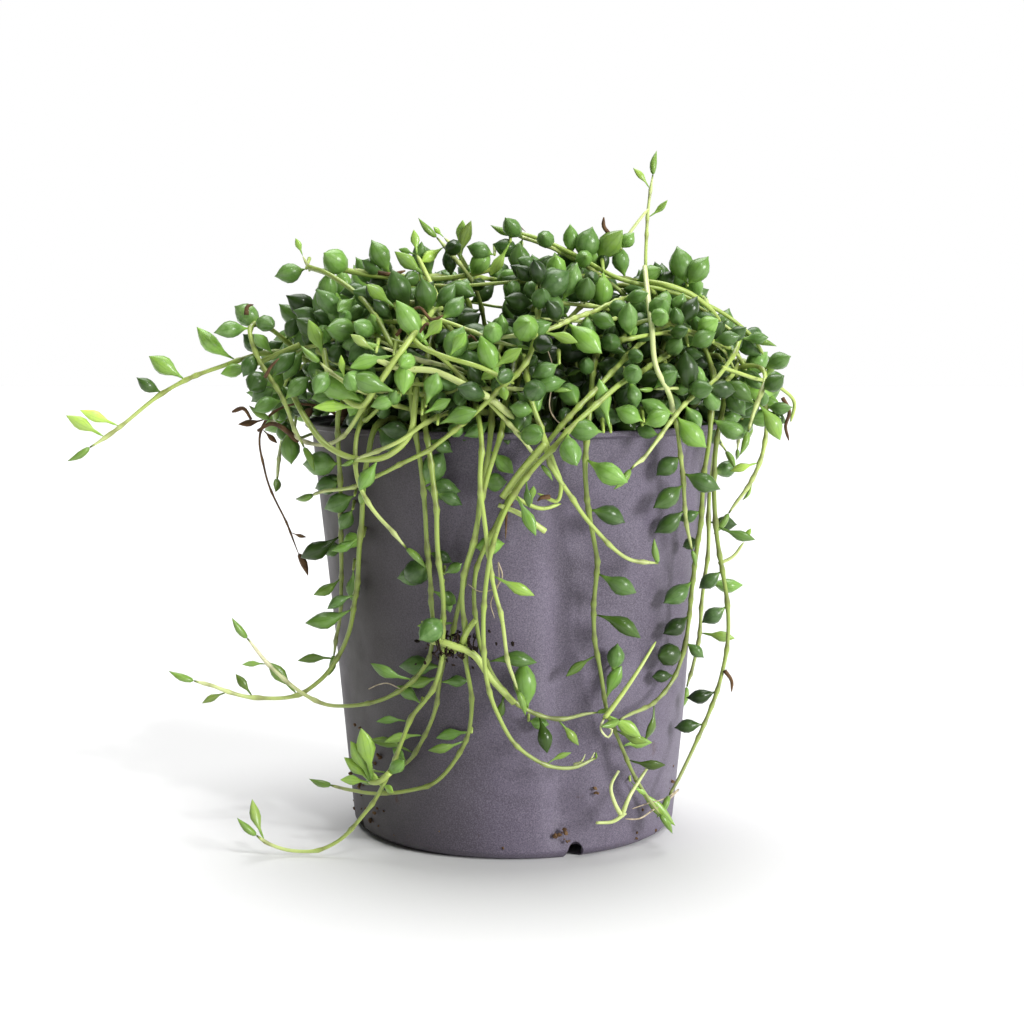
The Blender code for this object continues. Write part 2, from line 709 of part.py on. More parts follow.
class Space:
    """What is already taken, as balls, so that a new leaf can be tested against it."""

    def __init__(self, stems):
        self.stems = np.concatenate([stem["points"] for stem in stems])
        self.owner = np.concatenate([np.full(len(stem["points"]), i) for i, stem in enumerate(stems)])
        self.along = np.concatenate([lengths_along(stem["points"]) for stem in stems])
        self.balls = np.zeros((0, 4))

    def fits(self, balls, owner, place):
        apart = (self.owner != owner) | (np.abs(self.along - place) > 6 * MM)
        others = self.stems[apart]
        for x, y, z, size in balls:
            near = np.linalg.norm(others - (x, y, z), axis=1).min()
            if near < size + STEM_RADIUS + CLEARANCE + 0.3 * MM:
                return False
            gaps = np.linalg.norm(self.balls[:, :3] - (x, y, z), axis=1) - self.balls[:, 3]
            if len(gaps) and gaps.min() < size + CLEARANCE:
                return False
            spot = np.array([[x, y, z]])
            if not np.allclose(kept_clear(spot, size + CLEARANCE, size), spot):
                return False
        return True

    def take(self, balls):
        self.balls = np.concatenate([self.balls, balls])


def leaf_form(length, full):
    """A leaf's rings from its foot: share of the length, half width, half thickness. Also its balls."""
    if full >= 0.5:
        wide = (0.9 + 1.2 * full) * MM * length / BEAD_LENGTH
        rings = [(0.32, 0.92 * wide, 0.92 * wide), (0.64, wide, wide)]
        balls = [(0.38, 1.38 * wide), (0.6, 1.42 * wide), (0.86, 0.8 * wide)]
    else:
        wide = (1.05 + 0.9 * full) * MM
        rings = [(0.56, wide, (0.5 + full) * MM)]
        balls = [(0.35, 0.8 * wide), (0.56, 1.1 * wide), (0.8, 0.7 * wide)]
    return rings, balls


def raise_leaf(bm, face, tangent, direction, length, rings):
    """Draws a leaf out of one face of the stem and closes it in a point."""
    foot = face.calc_center_median()
    normal = face.normal.copy()
    side = normal.cross(tangent).normalized()
    across = (tangent - direction * tangent.dot(direction)).normalized()
    through = direction.cross(across)
    if through.dot(side) < 0:
        through.negate()
    middle = foot.copy()
    for share, width, thickness in rings:
        face = bmesh.ops.extrude_discrete_faces(bm, faces=[face])["faces"][0]
        target = foot + direction * length * share
        signs = []
        for vertex in face.verts:
            offset = vertex.co - middle
            signs.append((math.copysign(1, offset.dot(tangent)), math.copysign(1, offset.dot(side))))
        for vertex, (along, beside) in zip(face.verts, signs):
            vertex.co = target + across * along * width + through * beside * thickness
        middle, tangent, side = target, across, through
    tip = bmesh.ops.poke(bm, faces=[face])["verts"][0]
    tip.co = foot + direction * length


def bounded(direction, normal, tangent, most_lean, most_turn):
    """The direction, brought near enough to the face's normal for the leaf to clear its own stem."""
    lean = max(-most_lean, min(most_lean, direction.dot(tangent)))
    flat = direction - tangent * direction.dot(tangent)
    flat = flat.normalized() if flat.length > 1e-6 else normal.copy()
    if flat.angle(normal) > most_turn:
        turn = flat.angle(normal)
        flat = normal.slerp(flat, most_turn / turn) if turn < math.pi - 0.01 else normal.copy()
    return (flat * math.sqrt(1 - lean * lean) + tangent * lean).normalized()


def grow_leaves(stems, bodies, space, draw, seen):
    """Adds the leaves that were seen, or else those that follow the rule, wherever one has room."""
    count = 0
    for owner, (stem, bm) in enumerate(zip(stems, bodies)):
        points = stem["points"]
        along = lengths_along(points)
        bm.faces.ensure_lookup_table()
        for place, tip, full in stem["nodes"]:
            if (tip is None) == seen:
                continue
            spot = Vector(point_at(points, along, place))
            ahead = Vector(point_at(points, along, min(place + 2 * MM, along[-1])))
            behind = Vector(point_at(points, along, place - 2 * MM))
            tangent = (ahead - behind).normalized()
            sides = [face for face in bm.faces if len(face.verts) == 4]
            quads = [face for face in sides if abs(face.normal.dot(tangent)) < 0.5]
            quads = sorted(quads, key=lambda face: (face.calc_center_median() - spot).length)[:STEM_SIDES]
            if tip:
                wanted = Vector((tip[0] - spot.x, 0, tip[1] - spot.z))
                length = min(max(wanted.length, SEEN_LENGTHS[0]), SEEN_LENGTHS[1])
                tries = [wanted.normalized() + Vector((0, y, 0)) for y in (0, -0.5, 0.5, -1, 1)]
                most = 1
            else:
                outward = Vector((spot.x, spot.y, 0.7 * max(spot.z - DOME_FOOT, 0))).normalized()
                length = BEAD_LENGTH * draw.uniform(0.84, 1.04)
                tries = [outward + Vector(draw.uniform(-0.7, 0.7) for _ in range(3)) for _ in range(2)]
                tries += [quad.normal + outward * 0.4 for quad in quads]
                most = 2 if spot.z > SOIL_EDGE else 1
            grown = 0
            for size in (1, 0.84):
                for direction in tries:
                    if grown >= most or not quads:
                        break
                    direction = direction.normalized()
                    quad = max(quads, key=lambda face: face.normal.dot(direction))
                    fine = full < 0.5
                    most_lean = 0.75 if fine else 0.5
                    most_turn = math.radians(60 if fine else 42)
                    turned_to = bounded(direction, quad.normal, tangent, most_lean, most_turn)
                    rings, balls = leaf_form(length * size, full)
                    foot = quad.calc_center_median()
                    along_leaf = turned_to * length * size
                    placed = np.array([(*(foot + along_leaf * share), radius) for share, radius in balls])
                    if not space.fits(placed, owner, place):
                        continue
                    space.take(placed)
                    quads.remove(quad)
                    raise_leaf(bm, quad, tangent, turned_to, length * size, rings)
                    grown += 1
            count += grown
    return count


def add_buds(stems, bodies, space):
    """Draws each stem's end out into a small pointed bud, where it has room."""
    for owner, (stem, bm) in enumerate(zip(stems, bodies)):
        end = Vector(stem["points"][-1])
        tangent = (end - Vector(stem["points"][-2])).normalized()

        def endness(face):
            return face.normal.dot(tangent) - (face.calc_center_median() - end).length / MM

        cap = max(bm.faces, key=endness)
        for length in (BUD_LENGTH, 0.6 * BUD_LENGTH):
            balls = np.array([(*(end + tangent * length * share), 1.3 * MM) for share in (0.35, 0.65)])
            if not space.fits(balls, owner, lengths_along(stem["points"])[-1]):
                continue
            space.take(balls)
            widest = bmesh.ops.extrude_discrete_faces(bm, faces=[cap])["faces"][0]
            middle = widest.calc_center_median()
            for vertex in widest.verts:
                vertex.co = middle + (vertex.co - middle) * 1.9 + tangent * length * 0.4
            tip = bmesh.ops.poke(bm, faces=[widest])["verts"][0]
            tip.co = middle + tangent * length
            break


def make_stems(stems, collection, cutters):
    green = new_material("trailing stem green", (0.21, 0.34, 0.06), 0.42)
    bead = new_material("bead green", (0.075, 0.17, 0.06), 0.4)
    dry = new_material("dry stem", (0.1, 0.07, 0.03), 0.7)
    outline = section(cutters)
    for stem in stems:
        stem["nodes"] = leaf_places(stem)
    bodies = [stem_tube(stem, outline, cutters) for stem in stems]
    space = Space(stems)
    draw = random.Random(SEED + 1)
    add_buds(stems, bodies, space)
    seen = grow_leaves(stems, bodies, space, draw, True)
    ruled = grow_leaves(stems, bodies, space, draw, False)
    print(f"{len(stems)} stems, {seen} leaves seen and {ruled} by the rule")
    for stem, bm in zip(stems, bodies):
        bmesh.ops.recalc_face_normals(bm, faces=bm.faces)
        mesh = bpy.data.meshes.new(stem["name"])
        bm.to_mesh(mesh)
        bm.free()
        material = dry if "dry" in stem["name"] else green if stem["leaves"] else bead
        mesh.shade_smooth()
        mesh.set_sharp_from_angle(angle=math.radians(50))
        new_object(stem["name"], mesh, collection, material)


def main():
    clear_scene()
    collection = new_collection("potted_string_of_beads")
    cutters = new_collection("cutters")
    stems = plan_stems()
    settle(stems)
    make_pot(collection, cutters)
    make_soil(collection, cutters, [stem["root"] for stem in stems])
    make_stems(stems, collection, cutters)


main()
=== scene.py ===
import json
import math
import random

import bmesh
import bpy
from mathutils import Matrix, Vector, noise


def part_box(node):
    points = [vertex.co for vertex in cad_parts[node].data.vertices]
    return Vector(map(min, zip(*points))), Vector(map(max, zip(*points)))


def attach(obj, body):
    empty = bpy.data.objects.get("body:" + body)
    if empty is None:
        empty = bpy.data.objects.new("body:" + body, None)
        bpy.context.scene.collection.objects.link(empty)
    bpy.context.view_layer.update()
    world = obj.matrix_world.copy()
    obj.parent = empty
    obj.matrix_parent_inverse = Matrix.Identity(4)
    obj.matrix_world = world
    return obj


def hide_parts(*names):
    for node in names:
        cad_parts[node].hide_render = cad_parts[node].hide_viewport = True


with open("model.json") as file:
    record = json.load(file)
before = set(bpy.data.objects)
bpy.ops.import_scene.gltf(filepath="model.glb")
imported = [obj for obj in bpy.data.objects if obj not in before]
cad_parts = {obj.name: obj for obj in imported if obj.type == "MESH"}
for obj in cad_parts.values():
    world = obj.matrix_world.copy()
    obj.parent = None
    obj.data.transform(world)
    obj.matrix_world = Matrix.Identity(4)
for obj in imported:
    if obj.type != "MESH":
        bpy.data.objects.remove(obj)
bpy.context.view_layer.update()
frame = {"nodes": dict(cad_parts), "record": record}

nodes = frame["nodes"]
mm = 0.001
chance = random.Random(5)
noise.seed_set(5)  # without it, noise_vector's offsets follow the clock


# Selecting, and finishing a piece

def selectOnly(*pieces):
    bpy.ops.object.select_all(action="DESELECT")
    for piece in pieces:
        piece.select_set(True)
    bpy.context.view_layer.objects.active = pieces[0]


def useModifier(piece, kind, **settings):
    modifier = piece.modifiers.new(kind.title(), kind)
    for setting, value in settings.items():
        setattr(modifier, setting, value)
    selectOnly(piece)
    bpy.ops.object.modifier_apply(modifier=modifier.name)


def finishPiece(piece, replaced=()):
    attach(piece, "root")
    if replaced:
        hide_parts(*replaced)


# Materials: every one is procedural, on object coordinates, the leaves' own UV map or their attributes

def startMaterial(name, constants):
    material = bpy.data.materials.new(name)
    material.use_nodes = True
    shader = material.node_tree.nodes["Principled BSDF"]
    for socket, value in constants.items():
        shader.inputs[socket].default_value = value
    return material, material.node_tree, shader


def addNode(tree, kind, values=None, **settings):
    # each value is another node's output, or a constant; three numbers are a colour
    node = tree.nodes.new(kind)
    for setting, value in settings.items():
        setattr(node, setting, value)
    for socket, value in (values or {}).items():
        if isinstance(value, bpy.types.NodeSocket):
            tree.links.new(value, node.inputs[socket])
        else:
            node.inputs[socket].default_value = (*value, 1) if isinstance(value, tuple) else value
    return node


def addNoise(tree, scale, detail=3, roughness=0.5, distortion=0):
    return addNode(tree, "ShaderNodeTexNoise", {
        "Vector": addNode(tree, "ShaderNodeTexCoord").outputs["Object"],
        "Scale": scale, "Detail": detail, "Roughness": roughness, "Distortion": distortion,
    }).outputs["Fac"]


def addRamp(tree, factor, stops):
    ramp = addNode(tree, "ShaderNodeValToRGB", {"Fac": factor})
    elements = ramp.color_ramp.elements
    while len(elements) < len(stops):
        elements.new(0.5)
    for element, (place, colour) in zip(elements, stops):
        element.position = place
        element.color = (*colour, 1) if isinstance(colour, tuple) else (colour, colour, colour, 1)
    return ramp.outputs["Color"]


def addMix(tree, factor, first, second, blend="MIX"):
    values = {0: factor, 6: first, 7: second}
    return addNode(tree, "ShaderNodeMix", values, data_type="RGBA", blend_type=blend).outputs[2]


def addMath(tree, operation, first, second=0.0, third=0.0):
    return addNode(tree, "ShaderNodeMath", {0: first, 1: second, 2: third}, operation=operation).outputs[0]


def addAttribute(tree, name):
    return addNode(tree, "ShaderNodeAttribute", attribute_name=name).outputs["Fac"]


def splitAxes(tree, vector):
    return addNode(tree, "ShaderNodeSeparateXYZ", {"Vector": vector}).outputs


def finishSkin(shader, colour, rough, grain, strength, depth):
    # grain: the noise that the bump is made of
    tree = shader.id_data
    tree.links.new(colour, shader.inputs["Base Color"])
    tree.links.new(rough, shader.inputs["Roughness"])
    values = {"Height": addNoise(tree, *grain), "Strength": strength, "Distance": depth}
    tree.links.new(addNode(tree, "ShaderNodeBump", values).outputs["Normal"], shader.inputs["Normal"])


leafColours = {
    "ages": [
        (0.0, (0.056, 0.126, 0.031)), (0.25, (0.108, 0.226, 0.048)), (0.5, (0.178, 0.345, 0.056)),
        (0.75, (0.325, 0.490, 0.085)), (1.0, (0.560, 0.640, 0.240)),
    ],
    "shades": [(0.0, (0.15, 0.18, 0.08)), (0.5, (0.90, 0.91, 0.82)), (1.0, (1.66, 1.60, 1.30))],
    "bloom": (0.225, 0.345, 0.165),
    "lines": (0.55, 0.62, 0.55),
    "stalk": (0.20, 0.36, 0.07),
    "tip": (0.16, 0.12, 0.05),
}
leafGloss = {
    "Roughness": 0.33, "Specular IOR Level": 0.3, "Coat Weight": 0.2, "Coat Roughness": 0.12,
    "Subsurface Weight": 0.06, "Subsurface Radius": (0.6, 1.0, 0.3), "Subsurface Scale": 1.0 * mm,
}


def makeLeafSkin():
    material, tree, shader = startMaterial("leafSkin", leafGloss)
    colour = addRamp(tree, addAttribute(tree, "young"), leafColours["ages"])
    bloom = addRamp(tree, addNoise(tree, 420, 3, 0.6), [(0.40, 0.0), (0.75, 0.45)])
    colour = addMix(tree, bloom, colour, leafColours["bloom"])
    around, up, _ = splitAxes(tree, addNode(tree, "ShaderNodeUVMap", uv_map="leafMap").outputs["UV"])
    stripe = addMath(tree, "PINGPONG", addMath(tree, "MULTIPLY", around, 9.0), 0.5)
    stripe = addRamp(tree, stripe, [(0.0, 1.0), (0.16, 0.0)])
    middle = addRamp(tree, up, [(0.22, 0.0), (0.45, 1.0), (0.75, 1.0), (0.95, 0.0)])
    lines = addMath(tree, "MULTIPLY", addMath(tree, "MULTIPLY", stripe, middle), 0.5)
    colour = addMix(tree, lines, colour, leafColours["lines"], "MULTIPLY")
    colour = addMix(tree, addRamp(tree, up, [(0.1, 0.85), (0.3, 0.0)]), colour, leafColours["stalk"])
    colour = addMix(tree, addRamp(tree, up, [(0.95, 0.0), (1.0, 0.8)]), colour, leafColours["tip"])
    # painted shade and light: the shade attribute darkens leaves deep in the mound and lightens open ones
    shades = addRamp(tree, addAttribute(tree, "shade"), leafColours["shades"])
    colour = addMix(tree, 1.0, colour, shades, "MULTIPLY")
    rough = addRamp(tree, addNoise(tree, 300, 2), [(0.3, 0.30), (0.7, 0.46)])
    finishSkin(shader, colour, rough, (620, 3, 0.6), 0.22, 0.25 * mm)
    return material


stemColours = {
    "ages": [
        (0.0, (0.215, 0.290, 0.055)), (0.35, (0.320, 0.435, 0.078)), (0.7, (0.470, 0.585, 0.150)),
        (1.0, (0.720, 0.750, 0.420)),
    ],
    "shades": [(0.0, (0.20, 0.22, 0.12)), (0.5, (1.0, 1.0, 1.0))],
    "blush": (0.760, 0.640, 0.560),
    "streaks": (0.340, 0.420, 0.130),
    "knot": (0.150, 0.150, 0.045),
    "specks": (0.130, 0.110, 0.040),
}
stemGloss = {
    "Roughness": 0.42, "Subsurface Weight": 0.15, "Subsurface Radius": (0.8, 1.0, 0.3),
    "Subsurface Scale": 1.0 * mm,
}


def makeStemSkin():
    material, tree, shader = startMaterial("stemSkin", stemGloss)
    colour = addRamp(tree, addAttribute(tree, "young"), stemColours["ages"])
    colour = addMix(tree, addAttribute(tree, "blush"), colour, stemColours["blush"])
    streaks = addNoise(tree, 260, 4, 0.6, 0.4)
    colour = addMix(tree, addRamp(tree, streaks, [(0.35, 0.0), (0.75, 0.5)]), colour, stemColours["streaks"])
    knotted = addMath(tree, "MULTIPLY", addAttribute(tree, "knot"), 0.55)
    colour = addMix(tree, knotted, colour, stemColours["knot"])
    # painted shade: the shade attribute darkens stems deep in the mound
    shades = addRamp(tree, addAttribute(tree, "shade"), stemColours["shades"])
    colour = addMix(tree, 1.0, colour, shades, "MULTIPLY")
    specks = addRamp(tree, addNoise(tree, 1100, 2, 0.5), [(0.68, 0.0), (0.74, 0.5)])
    colour = addMix(tree, specks, colour, stemColours["specks"])
    finishSkin(shader, colour, addRamp(tree, streaks, [(0.3, 0.30), (0.7, 0.46)]), (700, 3), 0.3, 0.2 * mm)
    return material


# The plain skins: one noise for the tone, its colours and roughness, fibres over them, and the bump
plainSkins = {
    "drySkin": dict(
        gloss={"Roughness": 0.7, "Specular IOR Level": 0.3}, tone=(350, 4, 0.65),
        colours=[(0.3, (0.045, 0.022, 0.010)), (0.55, (0.130, 0.070, 0.030)), (0.8, (0.280, 0.190, 0.090))],
        rough=[(0.3, 0.6), (0.8, 0.85)], bump=((900, 4, 0.7), 0.6, 0.4 * mm),
    ),
    "rootSkin": dict(
        gloss={"Roughness": 0.6, "Specular IOR Level": 0.3}, tone=(400, 3, 0.6),
        colours=[(0.3, (0.250, 0.190, 0.120)), (0.7, (0.560, 0.480, 0.340))],
        rough=[(0.3, 0.5), (0.7, 0.75)], bump=((1200, 2), 0.4, 0.15 * mm),
    ),
    "peatSkin": dict(
        gloss={"Roughness": 0.95, "Specular IOR Level": 0.2}, tone=(180, 6, 0.7),
        colours=[(0.3, (0.008, 0.005, 0.004)), (0.55, (0.028, 0.017, 0.011)), (0.8, (0.080, 0.045, 0.026))],
        fibres=(0.150, 0.085, 0.045),
        rough=[(0.3, 0.8), (0.8, 1.0)], bump=((450, 6, 0.75), 1.0, 1.2 * mm),
    ),
}


def makePlainSkin(name, look):
    material, tree, shader = startMaterial(name, look["gloss"])
    tone = addNoise(tree, *look["tone"])
    colour = addRamp(tree, tone, look["colours"])
    if "fibres" in look:
        fibres = addRamp(tree, addNoise(tree, 700, 3, 0.6, 1.5), [(0.62, 0.0), (0.7, 0.7)])
        colour = addMix(tree, fibres, colour, look["fibres"])
    finishSkin(shader, colour, addRamp(tree, tone, look["rough"]), *look["bump"])
    return material


potColours = {
    "clouds": [(0.3, (0.084, 0.071, 0.096)), (0.5, (0.117, 0.098, 0.139)), (0.75, (0.148, 0.127, 0.174))],
    "paintedShade": (0.042, 0.037, 0.031),
    "speckDark": (0.058, 0.048, 0.066),
    "speckLight": (0.238, 0.210, 0.264),
    "dirt": (0.060, 0.026, 0.016),
}


def makePotSkin():
    # speckled all over, with painted shade darker towards the left of the front, and stained with soil low
    # down
    material, tree, shader = startMaterial("potPlastic", {"Roughness": 0.52, "Specular IOR Level": 0.42})
    colour = addRamp(tree, addNoise(tree, 22, 3, 0.5), potColours["clouds"])
    grain = addNoise(tree, 3000, 1, 0.6)
    colour = addMix(tree, addRamp(tree, grain, [(0.32, 0.58), (0.49, 0.0)]), colour, potColours["speckDark"])
    colour = addMix(tree, addRamp(tree, grain, [(0.51, 0.0), (0.68, 0.44)]), colour, potColours["speckLight"])
    x, y, z = splitAxes(tree, addNode(tree, "ShaderNodeTexCoord").outputs["Object"])
    # painted shade: the left of the front is darkened, where the side turns away from the light
    leftward = addRamp(tree, addMath(tree, "MULTIPLY_ADD", x, 8.0, 0.5), [(0.14, 0.95), (0.47, 0.0)])
    nearer = addRamp(tree, addMath(tree, "MULTIPLY_ADD", y, -8.0, 0.5), [(0.40, 0.12), (0.68, 1.0)])
    colour = addMix(tree, addMath(tree, "MULTIPLY", leftward, nearer), colour, potColours["paintedShade"])
    low = addRamp(tree, addMath(tree, "DIVIDE", z, 0.117), [(0.05, 1.0), (0.38, 0.0)])
    blots = addRamp(tree, addNoise(tree, 95, 5, 0.7), [(0.64, 0.0), (0.69, 1.0)])
    stain = addMath(tree, "MULTIPLY", addMath(tree, "MULTIPLY", blots, low), 0.85)
    colour = addMix(tree, stain, colour, potColours["dirt"])
    rough = addRamp(tree, addNoise(tree, 140, 3), [(0.3, 0.46), (0.7, 0.60)])
    finishSkin(shader, colour, rough, (1300, 2), 0.18, 0.15 * mm)
    return material


leafSkin, stemSkin, potSkin = makeLeafSkin(), makeStemSkin(), makePotSkin()
drySkin, rootSkin, peatSkin = (makePlainSkin(name, look) for name, look in plainSkins.items())
print("materials ready")


# Pot: rings pulled up one by one as on a lathe, pressed in softly by hand, then notched and drained

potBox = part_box("pot")
pot = {
    "segments": 180,
    "height": potBox[1].z,
    "lipRadius": potBox[1].x,
    "lipHeight": 1.6 * mm,
    "topRadius": potBox[1].x - 1.8 * mm,
    "footRadius": potBox[1].x - 13.4 * mm,
    "wall": 1.1 * mm,
    "floorRaise": 3 * mm,
    "floor": 1.2 * mm,
    "padRadius": 29 * mm,
    "padSlope": 1.5 * mm,
    "wallRows": 44,
    "footRounding": [(3.1, 0), (2.6, 0), (1.1, 0.8), (0.3, 1.6)],  # inwards and up in mm
    "footTop": 2.3 * mm,
    "notches": 4,
    "notchTurn": math.radians(21.4),
    "notchHalfWidth": 2.6 * mm,
    "notchHeight": 4.6 * mm,
    "drains": 8,
    "drainRadius": 3.2 * mm,
    "drainCircle": 38 * mm,
    "stiffFoot": 12 * mm,
    "stiffRim": 9 * mm,
    "foldAngle": math.radians(38),
}
# Soft dents and small dimples: turn from the front in degrees, height, reach sideways in degrees, reach
# upwards, depth; heights, upward reaches and depths in mm
potDents = [
    (-38, 82, 13, 20, 1.5), (-14, 70, 9, 26, 1.3), (7, 62, 8, 30, 1.0), (24, 84, 8, 20, 2.4),
    (36, 60, 10, 15, 1.5), (52, 74, 9, 22, 1.2), (-62, 50, 16, 26, 1.2), (95, 66, 22, 24, 1.6),
    (170, 58, 26, 28, 1.4), (-120, 76, 24, 26, 1.7),
]
dimples = [
    (25, 72), (29, 105), (39, 75), (22, 47), (32, 92), (21, 90), (23, 60), (30, 22), (-43, 104), (-36, 90),
    (-19, 92), (-12, 104), (44, 96), (48, 52),
]
potDents += [(turn, height, 4.6, 4.4, 0.55) for turn, height in dimples]
# An upright crease: steep on its left, and fading out towards the rim
potCrease = {
    "across": 12.2 * mm,
    "left": 3.6,
    "right": 3 * 3.6,
    "depth": 2.9 * mm,
    "top": 104 * mm,
    "fade": 12 * mm,
}


def wallRadius(height):
    share = min(max(height / (pot["height"] - pot["lipHeight"]), 0), 1)
    return pot["footRadius"] + (pot["topRadius"] - pot["footRadius"]) * share


def dentDepth(turn, height):
    depth = 0
    for dentTurn, dentHeight, sideways, upwards, deep in potDents:
        off = (math.degrees(turn) - dentTurn + 180) % 360 - 180
        reach = (off / sideways) ** 2 + ((height - dentHeight * mm) / (upwards * mm)) ** 2
        depth += deep * mm * math.exp(-reach)
    off = math.degrees(turn - math.asin(potCrease["across"] / wallRadius(height)))
    low = min(max((potCrease["top"] - height) / potCrease["fade"], 0), 1)
    wide = potCrease["left"] if off < 0 else potCrease["right"]
    depth += low * potCrease["depth"] * math.exp(-(off / wide) ** 2)
    edge = min(height / pot["stiffFoot"], (pot["height"] - height) / pot["stiffRim"], 1)
    return depth * max(edge, 0)


def pullRings(name, rings, segments):
    radius, height = rings[0]
    bpy.ops.object.select_all(action="DESELECT")
    bpy.ops.mesh.primitive_circle_add(vertices=segments, radius=radius, location=(0, 0, height))
    piece = bpy.context.object
    piece.name = name
    bpy.ops.object.mode_set(mode="EDIT")
    bpy.ops.mesh.select_all(action="SELECT")
    for (oldRadius, oldHeight), (newRadius, newHeight) in zip(rings, rings[1:]):
        bpy.ops.mesh.extrude_region_move(TRANSFORM_OT_translate={"value": (0, 0, newHeight - oldHeight)})
        share = newRadius / oldRadius
        bpy.ops.transform.resize(value=(share, share, 1), center_override=(0, 0, newHeight))
    bpy.ops.mesh.edge_face_add()
    bpy.ops.object.mode_set(mode="OBJECT")
    bpy.ops.object.transform_apply(location=True, rotation=True, scale=True)
    return piece


def pointOutwards(piece):
    selectOnly(piece)
    bpy.ops.object.mode_set(mode="EDIT")
    bpy.ops.mesh.select_all(action="SELECT")
    bpy.ops.mesh.normals_make_consistent(inside=False)
    bpy.ops.object.mode_set(mode="OBJECT")


def makePot():
    wall, foot, lip, lipTop = pot["wall"], pot["footRadius"], pot["lipRadius"], pot["height"]
    pad, slope, under = pot["padRadius"], pot["padRadius"] + pot["padSlope"], pot["floorRaise"]
    raised, lipFoot = under + pot["floor"], lipTop - pot["lipHeight"]
    rows = [lipFoot * i / pot["wallRows"] for i in range(pot["wallRows"] + 1)]
    rings = [(0.4 * mm, 0), (pad, 0), (slope, under), (wallRadius(under) - wall, under)]
    rings += [(foot - inwards * mm, up * mm) for inwards, up in pot["footRounding"]]
    rings += [(wallRadius(pot["footTop"]), pot["footTop"])]
    rings += [(wallRadius(height), height) for height in rows[1:-1]]
    rings += [(pot["topRadius"], lipFoot - 0.4 * mm), (lip - 0.4 * mm, lipFoot - 0.1 * mm)]
    rings += [(lip, lipFoot + 0.3 * mm), (lip, lipTop - 0.3 * mm), (lip - 0.3 * mm, lipTop)]
    rings += [(lip - wall + 0.2 * mm, lipTop), (lip - wall, lipTop - 0.2 * mm)]
    rings += [(lip - wall, lipFoot + 0.5 * mm)]
    rings += [(wallRadius(height) - wall, height) for height in reversed(rows[2:]) if height > raised]
    rings += [(wallRadius(raised) - wall, raised), (slope, raised)]
    rings += [(pad, pot["floor"]), (0.4 * mm, pot["floor"])]
    piece = pullRings("potWall", rings, pot["segments"])
    selectOnly(piece)
    bpy.ops.object.mode_set(mode="EDIT")
    bpy.ops.mesh.select_all(action="DESELECT")
    bpy.ops.mesh.select_non_manifold(extend=False)
    bpy.ops.mesh.edge_face_add()
    bpy.ops.object.mode_set(mode="OBJECT")
    for vert in piece.data.vertices:
        x, y, z = vert.co
        radius = math.hypot(x, y)
        if radius > wallRadius(z) - 2 * wall:
            turn = math.atan2(x, -y)
            share = 1 - dentDepth(turn, z) / radius
            vert.co.x, vert.co.y = x * share, y * share
    pointOutwards(piece)
    cutters = []
    for i in range(pot["notches"]):
        turn = pot["notchTurn"] + i * math.tau / pot["notches"]
        reach = pot["footRadius"] - wall / 2
        place = (reach * math.sin(turn), -reach * math.cos(turn), 0)
        bpy.ops.mesh.primitive_cylinder_add(
            vertices=32, radius=pot["notchHalfWidth"], depth=5 * wall, location=place,
            rotation=(math.pi / 2, 0, turn),
        )
        cutter = bpy.context.object
        cutter.scale = (1, pot["notchHeight"] / pot["notchHalfWidth"], 1)
        cutters.append(cutter)
    for i in range(pot["drains"]):
        turn = (i + 0.5) * math.tau / pot["drains"]
        place = (pot["drainCircle"] * math.sin(turn), -pot["drainCircle"] * math.cos(turn), pot["floorRaise"])
        bpy.ops.mesh.primitive_cylinder_add(
            vertices=32, radius=pot["drainRadius"], depth=8 * mm, location=place,
        )
        cutters.append(bpy.context.object)
    selectOnly(*cutters)
    bpy.ops.object.transform_apply(location=True, rotation=True, scale=True)
    bpy.ops.object.join()
    cutter = bpy.context.object
    useModifier(piece, "BOOLEAN", operation="DIFFERENCE", solver="EXACT", object=cutter)
    bpy.data.objects.remove(cutter)
    piece.data.materials.clear()
    piece.data.materials.append(potSkin)
    selectOnly(piece)
    bpy.ops.object.shade_smooth_by_angle(angle=pot["foldAngle"])
    finishPiece(piece, ["pot"])
    return piece


potWall = makePot()
print("pot", len(potWall.data.polygons), "faces")


# Soil: a plug in the pot with a lumpy top, and crumbs on it

soil = {
    "edgeHeight": 108 * mm,
    "middleHeight": 110.5 * mm,
    "gap": 0.35 * mm,
    "sideInset": 3.2 * mm,
    "sideRows": 12,
    "topRows": 22,
    "lump": 2.2 * mm,
    "lumpScale": 140,
    "crumbs": 260,
    "crumbReach": 54 * mm,
}


def soilHeight(x, y):
    share = min(math.hypot(x, y) / pot["topRadius"], 1)
    rise = soil["middleHeight"] + (soil["edgeHeight"] - soil["middleHeight"]) * share
    lumps = noise.fractal(Vector((x, y, 0)) * soil["lumpScale"], 0.8, 2.2, 4)
    return rise + soil["lump"] * (lumps - 0.35)


def makeSoil():
    low, inside = pot["floor"] + soil["gap"], pot["wall"] + soil["gap"]
    raised, edge = pot["floorRaise"] + low, soil["edgeHeight"] - 1.5 * mm
    rings = [(1 * mm, low), (pot["padRadius"] - soil["gap"], low)]
    rings += [(pot["padRadius"] + pot["padSlope"], raised), (wallRadius(raised) - inside, raised)]
    heights = [edge * i / soil["sideRows"] for i in range(1, soil["sideRows"] + 1)]
    rings += [(wallRadius(height) - inside - soil["sideInset"], height) for height in heights]
    top = wallRadius(edge) - inside
    for i in range(soil["topRows"]):
        rings.append((top * (1 - i / soil["topRows"]) + 0.6 * mm, soil["edgeHeight"]))
    piece = pullRings("soilPlug", rings, 96)
    for vert in piece.data.vertices:
        if vert.co.z > soil["edgeHeight"] - 0.1 * mm:
            vert.co.z = soilHeight(vert.co.x, vert.co.y)
    pointOutwards(piece)
    piece.data.materials.append(peatSkin)
    selectOnly(piece)
    bpy.ops.object.shade_smooth()
    finishPiece(piece, ["soil"])
    return piece


